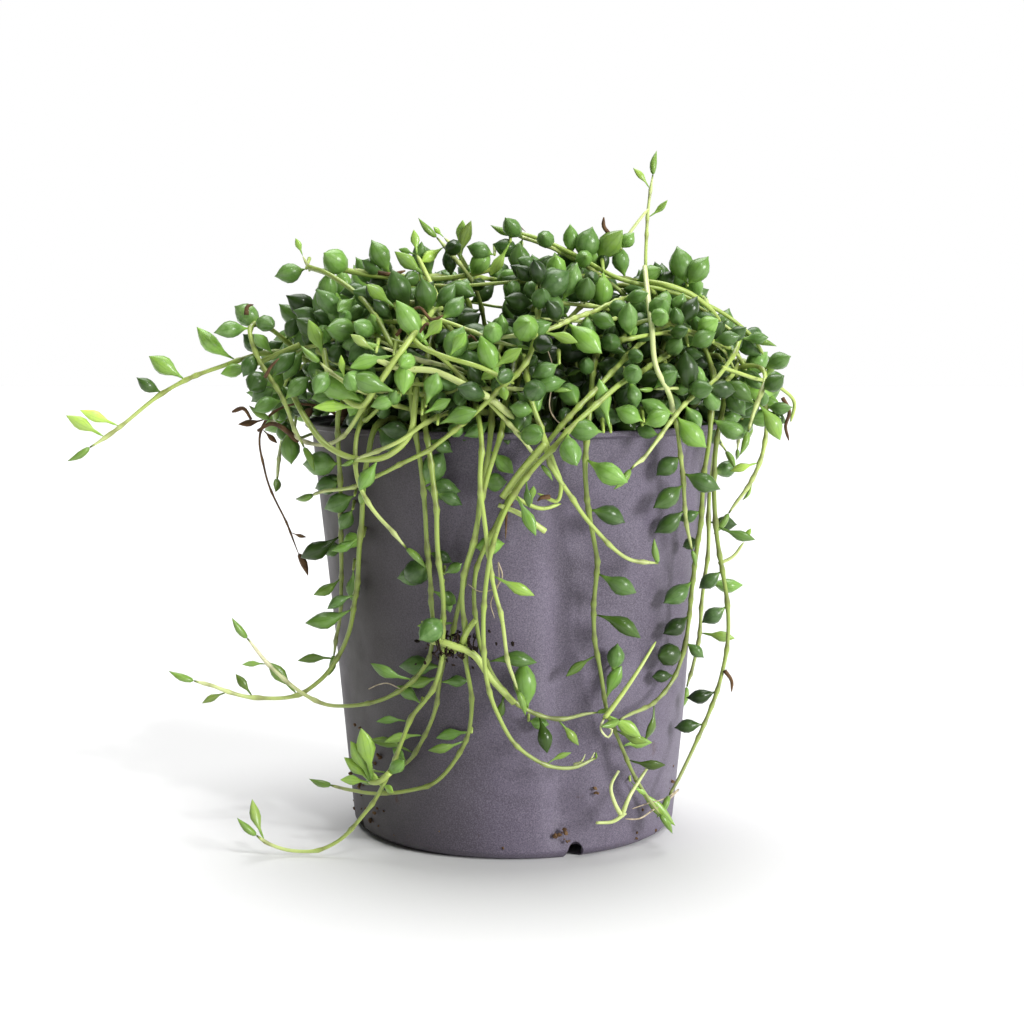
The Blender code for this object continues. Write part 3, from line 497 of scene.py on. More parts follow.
def roughStone(name, size, material):
    bpy.ops.object.select_all(action="DESELECT")
    bpy.ops.mesh.primitive_ico_sphere_add(subdivisions=1, radius=size)
    piece = bpy.context.object
    piece.name = name
    for vert in piece.data.vertices:
        vert.co *= 1 + 0.6 * noise.noise(vert.co * 900)
    piece.data.materials.append(material)
    return piece


def scatterCrumbs(name, places, material):
    # places: centre and size; each crumb is its own turned copy
    model = roughStone(name, 1 * mm, material)
    copies = []
    for centre, size in places:
        copy = model.copy()
        copy.data = model.data.copy()
        turn = Matrix.Rotation(chance.uniform(0, math.tau), 4, Vector((chance.random(), chance.random(), 1)))
        flat = Matrix.Diagonal((chance.uniform(0.6, 1.2), 1, chance.uniform(0.5, 0.9), 1))
        copy.data.transform(Matrix.Translation(centre) @ turn @ flat @ Matrix.Scale(size / mm, 4))
        bpy.context.scene.collection.objects.link(copy)
        copies.append(copy)
    bpy.data.objects.remove(model)
    selectOnly(*copies)
    bpy.ops.object.join()
    piece = bpy.context.object
    piece.name = name
    return piece


soilPlug = makeSoil()
places = []
for _ in range(soil["crumbs"]):
    turn, reach = chance.uniform(0, math.tau), soil["crumbReach"] * math.sqrt(chance.random())
    x, y = reach * math.cos(turn), reach * math.sin(turn)
    places.append((Vector((x, y, soilHeight(x, y) + 0.2 * mm)), chance.uniform(0.5, 1.9) * mm))
soilCrumbs = scatterCrumbs("soilCrumbs", places, peatSkin)
finishPiece(soilCrumbs)
print("soil and crumbs")


# Leaves: five models, each a sphere reshaped ring by ring, along +Z with its foot at 0 and its tip at 1.
# A ring is its height and its radius.

leafForms = {
    "ripe": dict(
        rings=[
            (0.16, 0.046), (0.25, 0.110), (0.38, 0.205), (0.53, 0.255),
            (0.68, 0.235), (0.81, 0.150), (0.92, 0.050),
        ],
        around=9, flat=0.90, bend=0.07,
    ),
    "plump": dict(
        rings=[
            (0.13, 0.050), (0.21, 0.140), (0.34, 0.262), (0.50, 0.315),
            (0.66, 0.290), (0.80, 0.190), (0.92, 0.062),
        ],
        around=9, flat=0.95, bend=0.04,
    ),
    "slim": dict(
        rings=[
            (0.20, 0.042), (0.32, 0.085), (0.45, 0.165), (0.59, 0.215),
            (0.73, 0.190), (0.86, 0.110), (0.95, 0.040),
        ],
        around=8, flat=0.80, bend=0.10,
    ),
    "young": dict(
        rings=[
            (0.18, 0.030), (0.34, 0.040), (0.46, 0.090), (0.59, 0.140),
            (0.72, 0.132), (0.84, 0.085), (0.94, 0.034),
        ],
        around=8, flat=0.50, bend=0.12,
    ),
    "bud": dict(
        rings=[(0.10, 0.110), (0.28, 0.160), (0.48, 0.170), (0.68, 0.120), (0.86, 0.055)],
        around=8, flat=0.8, bend=0.06,
    ),
}


def shapeLeaf(name, form):
    bpy.ops.object.select_all(action="DESELECT")
    bpy.ops.mesh.primitive_uv_sphere_add(segments=form["around"], ring_count=len(form["rings"]) + 1, radius=1)
    piece = bpy.context.object
    piece.name = name
    heights = sorted({round(vert.co.z, 4) for vert in piece.data.vertices})
    profile = [(0, 0)] + form["rings"] + [(1, 0)]
    for vert in piece.data.vertices:
        up, wide = profile[heights.index(round(vert.co.z, 4))]
        out = math.hypot(vert.co.x, vert.co.y) or 1
        bend = form["bend"] * math.sin(up * math.pi * 0.9) - form["bend"] * up * 0.3
        vert.co = Vector((vert.co.x / out * wide, vert.co.y / out * wide * form["flat"] + bend, up))
    piece.data.uv_layers[0].name = "leafMap"
    piece.data.materials.append(leafSkin)
    bpy.ops.object.shade_smooth()
    return piece


leafModels = {name: shapeLeaf(name + "Leaf", form) for name, form in leafForms.items()}


def writeAttribute(piece, name, values):
    attribute = piece.data.attributes.new(name, "FLOAT", "POINT")
    attribute.data.foreach_set("value", values)


def placeLeaf(kind, foot, direction, across, length, width, young, shade):
    model = leafModels[kind]
    copy = model.copy()
    copy.data = model.data.copy()
    direction = direction.normalized()
    across = (across - direction * across.dot(direction)).normalized()
    through = direction.cross(across)
    turn = Matrix((across * width, through * width, direction)).transposed().to_4x4()
    copy.data.transform(Matrix.Translation(foot) @ turn @ Matrix.Scale(length, 4))
    count = len(copy.data.vertices)
    writeAttribute(copy, "young", [young] * count)
    writeAttribute(copy, "shade", [shade] * count)
    bpy.context.scene.collection.objects.link(copy)
    return copy


# Stems: each packed strand is read ring by ring, and a finer stem with the same leaves grows in its place

stem = {
    "sides": 8,
    "step": 1.4 * mm,
    "merge": 1.7 * mm,
    "thick": 0.81,
    "thinner": 0.32,
    "knot": 1.42,
    "knotReach": 1.1 * mm,
    "rootTop": 106.6 * mm,
    "rootCircle": 51 * mm,
    "youngReach": 75 * mm,
    "bend": 0.55 * mm,
    "bendScale": 75,
    "kink": 0.8 * mm,
    "nodeSteps": (7, 12),
}


# How the frame's faceted leaves are built: shares of a leaf's length from its tip to its widest ring
packedLeaf = {
    "leastTip": 1.4 * mm,
    "ringFlatness": 0.2,
    "roundBelow": 1.25,
    "beadTip": 0.36,
    "beadLength": 9.3 * mm,
    "youngTip": 0.44,
}


def centreOf(verts):
    return sum((vert.co for vert in verts), Vector()) / len(verts)


def readLeaf(tip, ring):
    # the leaf that ends in this point, or nothing if the point is no leaf's
    middle = centreOf(ring)
    axis = tip.co - middle
    uneven = max(abs((vert.co - middle).dot(axis)) for vert in ring)
    if axis.length < packedLeaf["leastTip"] or uneven > packedLeaf["ringFlatness"] * axis.length_squared:
        return None
    if len(ring) == 3:
        return dict(kind="bud", tip=tip.co.copy(), verts={tip, *ring})
    sides = sorted((vert.co - ring[0].co for vert in ring[1:]), key=lambda side: side.length)[:2]
    narrow, wide = sides[0].length / 2, sides[1].length / 2
    direction, verts = axis.normalized(), {tip, *ring}
    if wide < packedLeaf["roundBelow"] * narrow:
        kind, length = "ripe", axis.length / packedLeaf["beadTip"]
        full = (wide / mm * packedLeaf["beadLength"] / length - 0.9) / 1.2
        verts |= {edge.other_vert(vert) for vert in ring for edge in vert.link_edges}
    else:
        kind, length = "young", axis.length / packedLeaf["youngTip"]
        full = narrow / mm - 0.5
    return dict(
        kind=kind, foot=tip.co - direction * length, direction=direction, across=sides[1].normalized(),
        length=length, full=min(max(full, 0), 1), verts=verts,
    )


def readStrand(node):
    shape = bmesh.new()
    shape.from_mesh(node.data)
    bmesh.ops.remove_doubles(shape, verts=shape.verts, dist=0.01 * mm)
    shape.verts.index_update()
    leaves, leafVerts, bud = [], set(), None
    for vert in shape.verts:
        ring = [edge.other_vert(vert) for edge in vert.link_edges]
        leaf = readLeaf(vert, ring) if len(ring) in (3, 4) else None
        if leaf:
            leafVerts |= leaf.pop("verts")
            if leaf["kind"] == "bud":
                bud = leaf["tip"]
            else:
                leaves.append(leaf)
    level = {
        vert for vert in shape.verts
        if vert.co.z < stem["rootTop"] and math.hypot(vert.co.x, vert.co.y) < stem["rootCircle"]
    } - leafVerts
    path, seen = [], leafVerts | level
    while level:
        path.append(centreOf(sorted(level, key=lambda vert: vert.index)))  # the same sum at each run
        level = {edge.other_vert(vert) for vert in level for edge in vert.link_edges} - seen
        seen |= level
    shape.free()
    return path, leaves, bud


def smoothPath(points, step):
    # an even walk along a smooth curve through uneven points
    merged = [points[0]]
    for point in points[1:]:
        if (point - merged[-1]).length < stem["merge"] and len(merged) > 1:
            merged[-1] = (merged[-1] + point) / 2
        else:
            merged.append(point)
    spans = [(b - a).length for a, b in zip(merged, merged[1:])]
    slopes = []
    for i in range(len(merged)):
        if i in (0, len(merged) - 1):
            a, b = (0, 1) if i == 0 else (-2, -1)
            slopes.append((merged[b] - merged[a]).normalized())
            continue
        before, after = spans[i - 1], spans[i]
        first = (merged[i] - merged[i - 1]) / before
        second = (merged[i + 1] - merged[i]) / after
        slopes.append((first * after + second * before) / (before + after))
    walk = []
    for i, span in enumerate(spans):
        count = max(1, round(span / step))
        for k in range(count):
            t = k / count
            walk.append(
                merged[i] * (2 * t ** 3 - 3 * t ** 2 + 1) + merged[i + 1] * (3 * t ** 2 - 2 * t ** 3)
                + slopes[i] * span * (t ** 3 - 2 * t ** 2 + t) + slopes[i + 1] * span * (t ** 3 - t ** 2)
            )
    walk.append(merged[-1])
    return walk


def nodeSteps(count):
    # where the stem's nodes are, the same at each call for the same stem
    dice, steps = random.Random(count), [0]
    while steps[-1] < count - 1:
        steps.append(min(steps[-1] + dice.randint(*stem["nodeSteps"]), count - 1))
    return steps


def looseDirection():
    return Vector(chance.uniform(-1, 1) for _ in range(3))


def wander(walk, reach):
    # small bends, and a kink at each node, none at the root end
    seed = Vector((chance.uniform(0, 50), 0, 0))
    steps = nodeSteps(len(walk))
    kinks = [looseDirection() * stem["kink"] for _ in steps]
    kinks[-1] = Vector()
    moved, k = [], 0
    for i, place in enumerate(walk):
        while i > steps[k + 1]:
            k += 1
        share = (i - steps[k]) / (steps[k + 1] - steps[k])
        sway = noise.noise_vector(place * stem["bendScale"] + seed) * reach
        bend = kinks[k].lerp(kinks[k + 1], share) + sway
        away = Vector((place.x, place.y, 0)).normalized()
        bend -= away * bend.dot(away) * 0.7
        moved.append(place + bend * min(i / 12, 1) * min((len(walk) - 1 - i) / 4, 1))
    return moved


def makeTube(name, walk, radii, material, sides, extra):
    line = bpy.data.curves.new(name, "CURVE")
    line.dimensions = "3D"
    line.bevel_depth = 1
    line.bevel_resolution = (sides - 4) // 2
    line.use_fill_caps = True
    spline = line.splines.new("POLY")
    spline.points.add(len(walk) - 1)
    for point, place, radius in zip(spline.points, walk, radii):
        point.co = (*place, 1)
        point.radius = radius
    piece = bpy.data.objects.new(name, line)
    bpy.context.scene.collection.objects.link(piece)
    selectOnly(piece)
    bpy.ops.object.convert(target="MESH")
    piece = bpy.context.object
    useModifier(piece, "WELD", merge_threshold=0.001 * mm)
    count = len(piece.data.vertices)
    for attribute, values in extra.items():
        full = [value for value in values for _ in range(sides)][:count]
        writeAttribute(piece, attribute, full + [values[-1]] * (count - len(full)))
    piece.data.materials.clear()
    piece.data.materials.append(material)
    bpy.ops.object.shade_smooth()
    return piece


def joinAll(base, parts, name):
    selectOnly(base, *parts)
    bpy.ops.object.join()
    piece = bpy.context.object
    piece.name = name
    return piece


mound = {
    "radius": 70 * mm,
    "rise": 50 * mm,
    "foot": 112 * mm,
    "flatness": 0.45,
    "bareInside": 0.62,
    "reach": 1.06,
    "beadStep": 6.2 * mm,
    "extraStems": 24,
    "sprouts": 54,
    "sproutReach": 42 * mm,
    "squeeze": 0.84,
    "darkBelow": 0.66,
    "darkFade": 0.3,
    "hollowHeight": 122 * mm,
    "hollowFade": 20 * mm,
    "hollowFront": -18 * mm,
}
bead = {
    "lengths": (7.8, 9.0, 10.0, 10.8, 11.6),
    "radius": 0.285,
    "middle": 0.58,
    "tries": 5,
}
goldenTurn = 2.39996
# The mound's top as the photo shows it: across and up; and where the background shows through: across, up,
# reach; all in mm in the pot's middle plane
moundTop = [
    (-84, 146), (-76, 151), (-70, 145), (-66, 157), (-52, 163), (-38, 163), (-28, 160), (-18, 161), (-8, 164),
    (4, 167), (26, 169), (36, 161), (46, 162), (52, 157), (57, 150), (67, 146), (75, 140), (82, 128),
]
moundGaps = [(-8, 151, 4.5), (19, 148, 3), (31, 155, 2)]
eyeDistance = 557 * mm
eyeHeight = 149.5 * mm
room, sights = {}, []


def seenAt(across, up, depth):
    # the place at this depth that the camera sees at these millimetres in the pot's middle plane
    nearer = 1 + depth * mm / eyeDistance
    return Vector((across * mm * nearer, depth * mm, eyeHeight + (up * mm - eyeHeight) * nearer))


def seenOnWall(across, up, out):
    depth = -50
    for _ in range(20):
        place = seenAt(across, up, depth)
        reach = wallRadius(place.z) / mm + out
        depth = -math.sqrt(max(reach ** 2 - (place.x / mm) ** 2, 16))
    return seenAt(across, up, depth)


def seenFrom(place):
    # where the camera sees this place, in the pot's middle plane
    nearer = eyeDistance / (eyeDistance + place.y)
    return place.x * nearer, eyeHeight + (place.z - eyeHeight) * nearer


def keepInSight(place, reach):
    sights.append((*seenFrom(place), reach, place.y - 1 * mm))


def topAt(across):
    for (x0, z0), (x1, z1) in zip(moundTop, moundTop[1:]):
        if x0 * mm <= across <= x1 * mm:
            return (z0 + (z1 - z0) * (across / mm - x0) / (x1 - x0)) * mm
    return 125 * mm


def inMound(place, radius):
    # whether a leaf there leaves the photo's outline and gaps as they are
    across, up = seenFrom(place)
    if up + 0.8 * radius > topAt(across):
        return False
    for seenAcross, seenUp, reach, depth in sights:
        if place.y < depth and math.hypot(across - seenAcross, up - seenUp) < reach + 0.7 * radius:
            return False
    return all(math.hypot(across - x * mm, up - z * mm) > reach * mm + radius for x, z, reach in moundGaps)


def cellsNear(place):
    cell = 8 * mm
    x, y, z = (math.floor(value / cell) for value in place)
    return [(x + i, y + j, z + k) for i in (-1, 0, 1) for j in (-1, 0, 1) for k in (-1, 0, 1)]


def takeRoom(place, radius):
    room.setdefault(cellsNear(place)[13], []).append((place, radius))


def hasRoom(place, radius):
    if place.z < radius:
        return False
    for cell in cellsNear(place):
        for other, size in room.get(cell, ()):
            if (other - place).length < mound["squeeze"] * (radius + size):
                return False
    out = math.hypot(place.x, place.y)
    if place.z < pot["height"] + radius and abs(out - pot["lipRadius"]) < radius:
        return False
    if out < pot["topRadius"]:
        return place.z > soil["middleHeight"] + 0.6 * radius
    return place.z > pot["height"] or out > wallRadius(place.z) + radius


def outwardShare(place):
    across = math.hypot(place.x, place.y) / mound["radius"]
    up = max(place.z - mound["foot"], 0) / mound["rise"]
    return (across ** 3 + up ** 3) ** (1 / 3)


def beadSize(length):
    return bead["radius"] * length


def growBeads(walk, most):
    # more beads between those already there, wherever the mound is open enough to show them
    leaves, since = [], 0
    for i in range(6, len(walk) - 4):
        since += (walk[i] - walk[i - 1]).length
        share = outwardShare(walk[i])
        low = walk[i].z < mound["foot"] + 4 * mm
        if since < mound["beadStep"] or not mound["bareInside"] < share < mound["reach"] or low:
            continue
        since = 0
        along = (walk[i + 1] - walk[i - 1]).normalized()
        out = Vector((walk[i].x, walk[i].y, 0.8 * max(walk[i].z - mound["foot"], 0))).normalized()
        for _ in range(most):
            for _ in range(bead["tries"]):
                loose = looseDirection()
                direction = (out * chance.uniform(-0.1, 0.6) + loose).normalized()
                direction = (direction - along * direction.dot(along) * 0.6).normalized()
                length = chance.choice(bead["lengths"]) * mm
                centre = walk[i] + direction * bead["middle"] * length
                if inMound(centre, beadSize(length)) and hasRoom(centre, beadSize(length)):
                    takeRoom(centre, beadSize(length))
                    leaves.append(dict(
                        kind="ripe", foot=walk[i], direction=direction, across=loose.cross(direction),
                        length=length, full=chance.uniform(0.75, 1),
                    ))
                    break
    return leaves


def openness(place):
    # 0 deep inside the mound, 1 at its outside; its middle is open from above
    # this sets the painted shade of leaves and stems: dark deep inside, light outside and on the middle's top
    light = (outwardShare(place) - mound["darkBelow"]) / mound["darkFade"]
    if place.y > mound["hollowFront"]:
        light = max(light, (place.z - mound["hollowHeight"]) / mound["hollowFade"])
    return min(max(light, 0), 1)


def leafCopies(leaves, ages):
    copies = []
    for leaf, age in zip(leaves, ages):
        full = leaf["full"]
        across = leaf["across"] if leaf["across"].length > 0.01 * mm else Vector((0.3, 0.5, 0.8))
        depth = openness(leaf["foot"] + leaf["direction"] * 5 * mm)
        # painted shade and light: darker deeper in the mound, lighter where open, times a random tone
        shade = (0.08 + 0.96 * depth ** 1.5) * chance.betavariate(1.5, 1.4)
        if leaf["kind"] == "ripe":
            kind = "slim" if full < 0.75 else "plump" if chance.random() < 0.2 else "ripe"
            width = chance.uniform(0.92, 1.08)
            length = leaf["length"] * chance.uniform(1.02, 1.12) * {"slim": 1.18, "plump": 0.88}.get(kind, 1)
            young = min(max(0.7 * (1 - full) + 0.22 * age + chance.uniform(-0.1, 0.16), 0), 0.75)
        else:
            kind = "young"
            width = 0.9 + 0.5 * full
            length = leaf["length"] * chance.uniform(1.1, 1.25)
            young = min(0.45 + 0.3 * age + chance.uniform(-0.1, 0.12), 0.95)
        copies.append(placeLeaf(kind, leaf["foot"], leaf["direction"], across, length, width, young, shade))
    return copies


def nearestStep(walk, place):
    return min(range(len(walk)), key=lambda i: (walk[i] - place).length_squared)


def dressStem(name, walk, leaves, bud, thin, blush, most):
    # most: how many beads at most grow at each step between those already there
    leaves = leaves + growBeads(walk, most) if most else leaves
    knotted = [nearestStep(walk, leaf["foot"]) for leaf in leaves]
    swell = [0.0] * len(walk)
    for knot in knotted + nodeSteps(len(walk))[1:-1]:
        for i in range(max(knot - 2, 0), min(knot + 3, len(walk))):
            swell[i] = max(swell[i], math.exp(-((i - knot) * stem["step"] / stem["knotReach"]) ** 2))
    ages, radii = [], []
    for i in range(len(walk)):
        left = len(walk) * stem["step"] * (1 - i / len(walk))
        age = min(max(1 - left / stem["youngReach"], 0), 1)
        ages.append(age)
        radius = thin * (stem["thick"] - stem["thinner"] * i / len(walk)) * mm
        fine = min(1, 0.5 + 0.17 * (len(walk) - 1 - i))
        radii.append(radius * fine * (1 + (stem["knot"] - 1) * swell[i]))
    extra = {
        "young": [0.25 + 0.6 * age for age in ages],
        # painted shade: stems deep in the mound are darker
        "shade": [0.5 * openness(place) for place in walk],
        "blush": [blush * max(0, 2 * age - 1) for age in ages],
        "knot": swell,
    }
    tube = makeTube(name, walk, radii, stemSkin, stem["sides"], extra)
    copies = leafCopies(leaves, [ages[knot] for knot in knotted])
    direction = bud - walk[-1] if bud else (walk[-1] - walk[-3]).normalized() * 4.5 * mm
    length = direction.length * 1.15
    copies.append(placeLeaf("bud", walk[-1], direction, Vector((0.2, 0.9, 0.1)), length, 1, 0.6, 0.4))
    return joinAll(tube, copies, name)


# Side shoots, stubs, dried ends and fine roots, as the photo shows them. Places are millimetres: across, in
# depth, up. Each has its route, the radius at its foot and at its end, its age, and then its leaves: how far
# along one stands, where its tip is, and its form.

shoots = {
    "kinkedRunner": ([(-56, -24, 160), (-50, -33, 158), (-42, -42, 153), (-36, -52, 147), (-31, -60, 139)],
        (0.75, 0.65), 0.15, (0.5, (-46, -50, 148), "slim")),
    "frontRunner": ([(-31, -50, 150), (-27, -60, 143), (-23, -66, 139), (-18, -69, 137), (-8, -71, 134),
        (0, -68, 130)], (0.7, 0.6), 0.4, (0.05, (-38, -56, 155), "young"), (0.4, (-18, -70, 146), "young"),
        (0.62, (-12, -72, 143), "slim"), (0.85, (2, -72, 139), "young"), (0.9, (-2, -74, 126), "young")),
    "longArch": ([(-2, -16, 170), (6, -20, 168), (17, -26, 163), (28, -30, 157), (40, -27, 154),
        (50, -24, 151), (60, -19, 146), (66, -18, 141), (70, -12, 136)], (0.7, 0.5), 0.35),
    "frontLoop": ([(-50, -46, 138), (-48, -52, 131), (-44, -57, 126), (-39, -61, 124), (-35, -64, 129),
        (-30, -66, 136), (-23.5, -60, 145), (-21, -50, 148), (-19, -40, 149)], (0.8, 0.8), 0.55,
        (0.05, (-54, -46, 146), "young"), (0.35, (-52, -55, 132), "slim"), (0.6, (-28, -67, 127), "slim")),
    "leftTwig": ([(-58, -30, 139), (-65, -30, 136), (-72, -28, 133)], (0.8, 0.7), 0.5,
        (0.5, (-70, -34, 142), "slim"), (0.95, (-80, -28, 131), "slim")),
    "rightThread": ([(56, -36, 133), (65, -26, 130), (74, -16, 127), (79, -12, 122), (78, -12, 117)],
        (0.6, 0.5), 0.7, (0.5, (71, -26, 133), "young")),
    "twinSproutA": ([(-13, -18, 160), (-16, -20, 165), (-19, -21, 168)], (0.7, 0.5), 0.85,
        (0.4, (-14, -20, 173), "young"), (1, (-22, -22, 171), "young")),
    "twinSproutB": ([(-20, -42, 151), (-23, -36, 157), (-26, -32, 163)], (0.8, 0.6), 0.7,
        (0.5, (-32, -34, 164), "young"), (1, (-27, -30, 170), "young")),
    "leftSprout": ([(-56, -20, 159), (-58, -20, 163)], (0.5, 0.4), 0.9, (1, (-60, -20, 168), "young")),
    "tallSide": ([(29, -24, 165), (31.5, -22, 169), (34.5, -20, 173), (37, -18, 176)], (0.5, 0.4), 0.8),
    "cutPiece": ([(8, -68, 115), (2, -68, 108), (-3, -67, 101)], (0.95, 0.9), 0.6),
    "tornStub": ([(-4, -66, 99), (1, -66, 97), (8, -64, 92)], (0.6, 0.8), 0.75),
    "tornTwig": ([(-2, -66, 103), (2, -66, 100), (7, -65, 98), (12, -63, 99)], (0.6, 0.5), 0.6,
        (0.5, (5, -67, 104), "young")),
    "brownHook": ([(7, -68, 118), (10, -67, 110), (12, -66, 103), (11, -66, 100), (8, -66, 101),
        (6, -66, 102)], (0.7, 0.5), 0.5),
    "knotBar": ([(-21, -60, 63), (-16, -62, 62), (-11, -62, 60), (-6, -60, 53), (0, -58, 46)], (1.1, 0.8),
        0.7),
    "knotStubA": ([(-14, -60, 61), (-12, -63, 66), (-10, -64, 69)], (0.9, 0.7), 0.5),
    "knotStubB": ([(-15, -60, 60), (-21, -61, 65), (-24, -60, 68)], (0.8, 0.6), 0.5),
    "lowLeaves": ([(-33, -52, 26), (-36, -50, 23), (-39, -47, 22)], (0.9, 0.7), 0.6,
        (0.8, (-41, -47, 37), "young"), (0.9, (-46, -43, 28), "young"), (0.3, (-29, -55, 30), "slim"),
        (0.6, (-32, -54, 21), "young"), (0.9, (-44, -45, 33), "young"), (1, (-47, -44, 22), "young")),
    "starStub": ([(24, -53, 41), (27.5, -52, 45.5), (33, -49.5, 53), (38, -45, 60)], (0.75, 0.4), 0.7,
        (0.02, (34, -50, 35), "young")),
    "starTail": ([(24, -52, 41), (23, -54, 38), (25, -54, 36), (26, -54, 38), (24, -54, 39)], (0.35, 0.25),
        0.95),
    "footSprout": ([(29, -48, 13), (27, -49, 17), (26, -50, 22), (28, -50, 26)], (0.7, 0.35), 0.85),
    "footSproutRight": ([(29, -48, 13), (31, -47, 18), (34, -44, 22), (37, -42, 26)], (0.7, 0.35), 0.85,
        (0.5, (36, -44, 18), "young")),
    "footSproutLow": ([(30, -48, 14), (27, -49, 12), (22, -51, 12)], (0.6, 0.4), 0.8),
    "lowSpikeA": ([(16, -51, 28), (18, -52, 29), (19, -52, 31)], (0.4, 0.2), 0.9),
    "lowSpikeB": ([(18.5, -51, 28), (20, -52, 29), (21.5, -52, 31.5)], (0.4, 0.2), 0.9),
    "tallStemFront": ([(41.9, -46.8, 121), (41.2, -50, 124.5), (39.4, -55, 128.5), (37, -56, 133),
        (36, -50, 143), (35.5, -38, 154), (35.5, -28, 160)], (0.75, 0.7), 0.9),
    "twinBeadStem": ([(35.5, -30, 156), (41, -34, 155), (47, -32, 153), (53, -28, 149), (57, -20, 145)],
        (0.8, 0.6), 0.55),
    "backRunner": ([(-50, -20, 160), (-40, -20, 158), (-30, -20, 157), (-19, -20, 157), (-10, -20, 158.5),
        (-4, -20, 160)], (0.8, 0.7), 0.2),
    "frontRunnerLow": ([(-36, -64, 136.5), (-30, -65, 134), (-20, -67, 133), (-13, -69, 130), (-7, -70, 127),
        (0, -66, 121)], (0.8, 0.9), 0.8),
    "edgeShoot": ([(57, -22, 78), (61, -22, 80), (64, -22, 84)], (0.5, 0.4), 0.8,
        (1, (66, -22, 88), "young")),
    "innerPale": ([(-60, -33, 126), (-55, -42, 119), (-49, -50, 113), (-40, -57, 110), (-32, -62, 111.5),
        (-26.5, -64, 117), (-25.3, -63, 124), (-25, -56, 131)], (0.8, 0.8), 0.6,
        (0.6, (-40, -60, 102), "slim")),
}
bluntEnds = {
    "cutPiece", "tornStub", "knotBar", "knotStubA", "footSprout", "footSproutRight", "footSproutLow",
    "tallStemFront",
}
driedEnds = {
    "clawLeft": ([(-51, -22, 160), (-51, -23, 162), (-49, -24, 164), (-46, -24, 162.5)], (0.6, 0.25)),
    "clawLeftB": ([(-51, -22, 160), (-48, -24, 162), (-46.5, -25, 160.5)], (0.5, 0.25)),
    "clawMiddle": ([(-37, -26, 158.5), (-33, -26, 158), (-30, -26, 158.5), (-29, -26, 159.5)], (0.6, 0.5)),
    "clawFarLeft": ([(-73, -26, 147), (-72.5, -26, 149.5), (-71, -26, 150.5), (-71, -26, 149)], (0.7, 0.4)),
    "clawTop": ([(1, -18, 168.5), (-1, -18, 170), (-1.5, -18, 171.5)], (0.5, 0.35)),
    "threadTop": ([(-1, -18, 171), (1, -18, 171.5), (2.5, -18, 170), (4, -18, 169.5)], (0.25, 0.15)),
    "clawRight": ([(26, -24, 169), (24.5, -24, 171), (24.5, -24, 173.5)], (0.6, 0.5)),
    "clawFarRight": ([(75, -16, 124), (77, -16, 120), (76, -16, 116), (77, -16, 112)], (0.6, 0.4)),
    "hookEnd": ([(9, -66, 101), (7, -67, 101), (6, -66, 100)], (0.7, 0.4)),
    "edgeTip": ([(59, -23, 48), (61, -23, 45), (61, -23, 42)], (0.6, 0.4)),
    "dryLeafA": ([(-69, -36, 116), (-65, -37, 118), (-61, -37, 116), (-58, -37, 113)], (0.4, 0.9)),
    "dryLeafB": ([(-71, -34, 119), (-73, -35, 122), (-76, -35, 121)], (0.4, 0.7)),
    "dryLeafC": ([(-65, -50, 131), (-63, -52, 134), (-61, -52, 136)], (0.5, 0.3)),
    "crinkleA": ([(-30, -60, 142), (-27, -62, 145), (-25, -62, 142), (-22, -63, 145), (-20, -63, 142)],
        (0.5, 0.3)),
    "crinkleB": ([(-16, -62, 141), (-13, -64, 139), (-11, -64, 142), (-9, -64, 140)], (0.5, 0.3)),
    "drip": ([(-2, -57, 99), (-2, -56.6, 94), (-2.2, -56, 89)], (0.5, 0.15)),
    "pinkBits": ([(-28, -58, 147), (-24, -60, 149), (-21, -60, 146), (-18, -60, 147)], (0.4, 0.4)),
}
fineRoots = {
    "aerialA": ([(-4, -64, 84), (-3, -63, 80), (-5, -62, 77), (-9, -61, 76), (-12, -61, 78)], (0.2, 0.12)),
    "aerialB": ([(-4, -64, 84), (-4, -62, 78), (-6, -62, 73), (-5, -61, 69)], (0.2, 0.12)),
    "footThread": ([(46, -27, 15), (42, -33, 13), (38, -38, 12), (34, -43, 11), (30, -47, 12)], (0.3, 0.2)),
    "footThreadB": ([(46, -27, 15), (41, -34, 14), (37, -38, 14), (32, -44, 14)], (0.2, 0.15)),
    "lowThread": ([(-39, -44, 47), (-36, -48, 49), (-33, -52, 50), (-30, -54, 49)], (0.18, 0.15)),
    "middleThread": ([(13, -58, 118), (9, -66, 124), (10, -64, 133), (8, -60, 140)], (0.2, 0.12)),
}

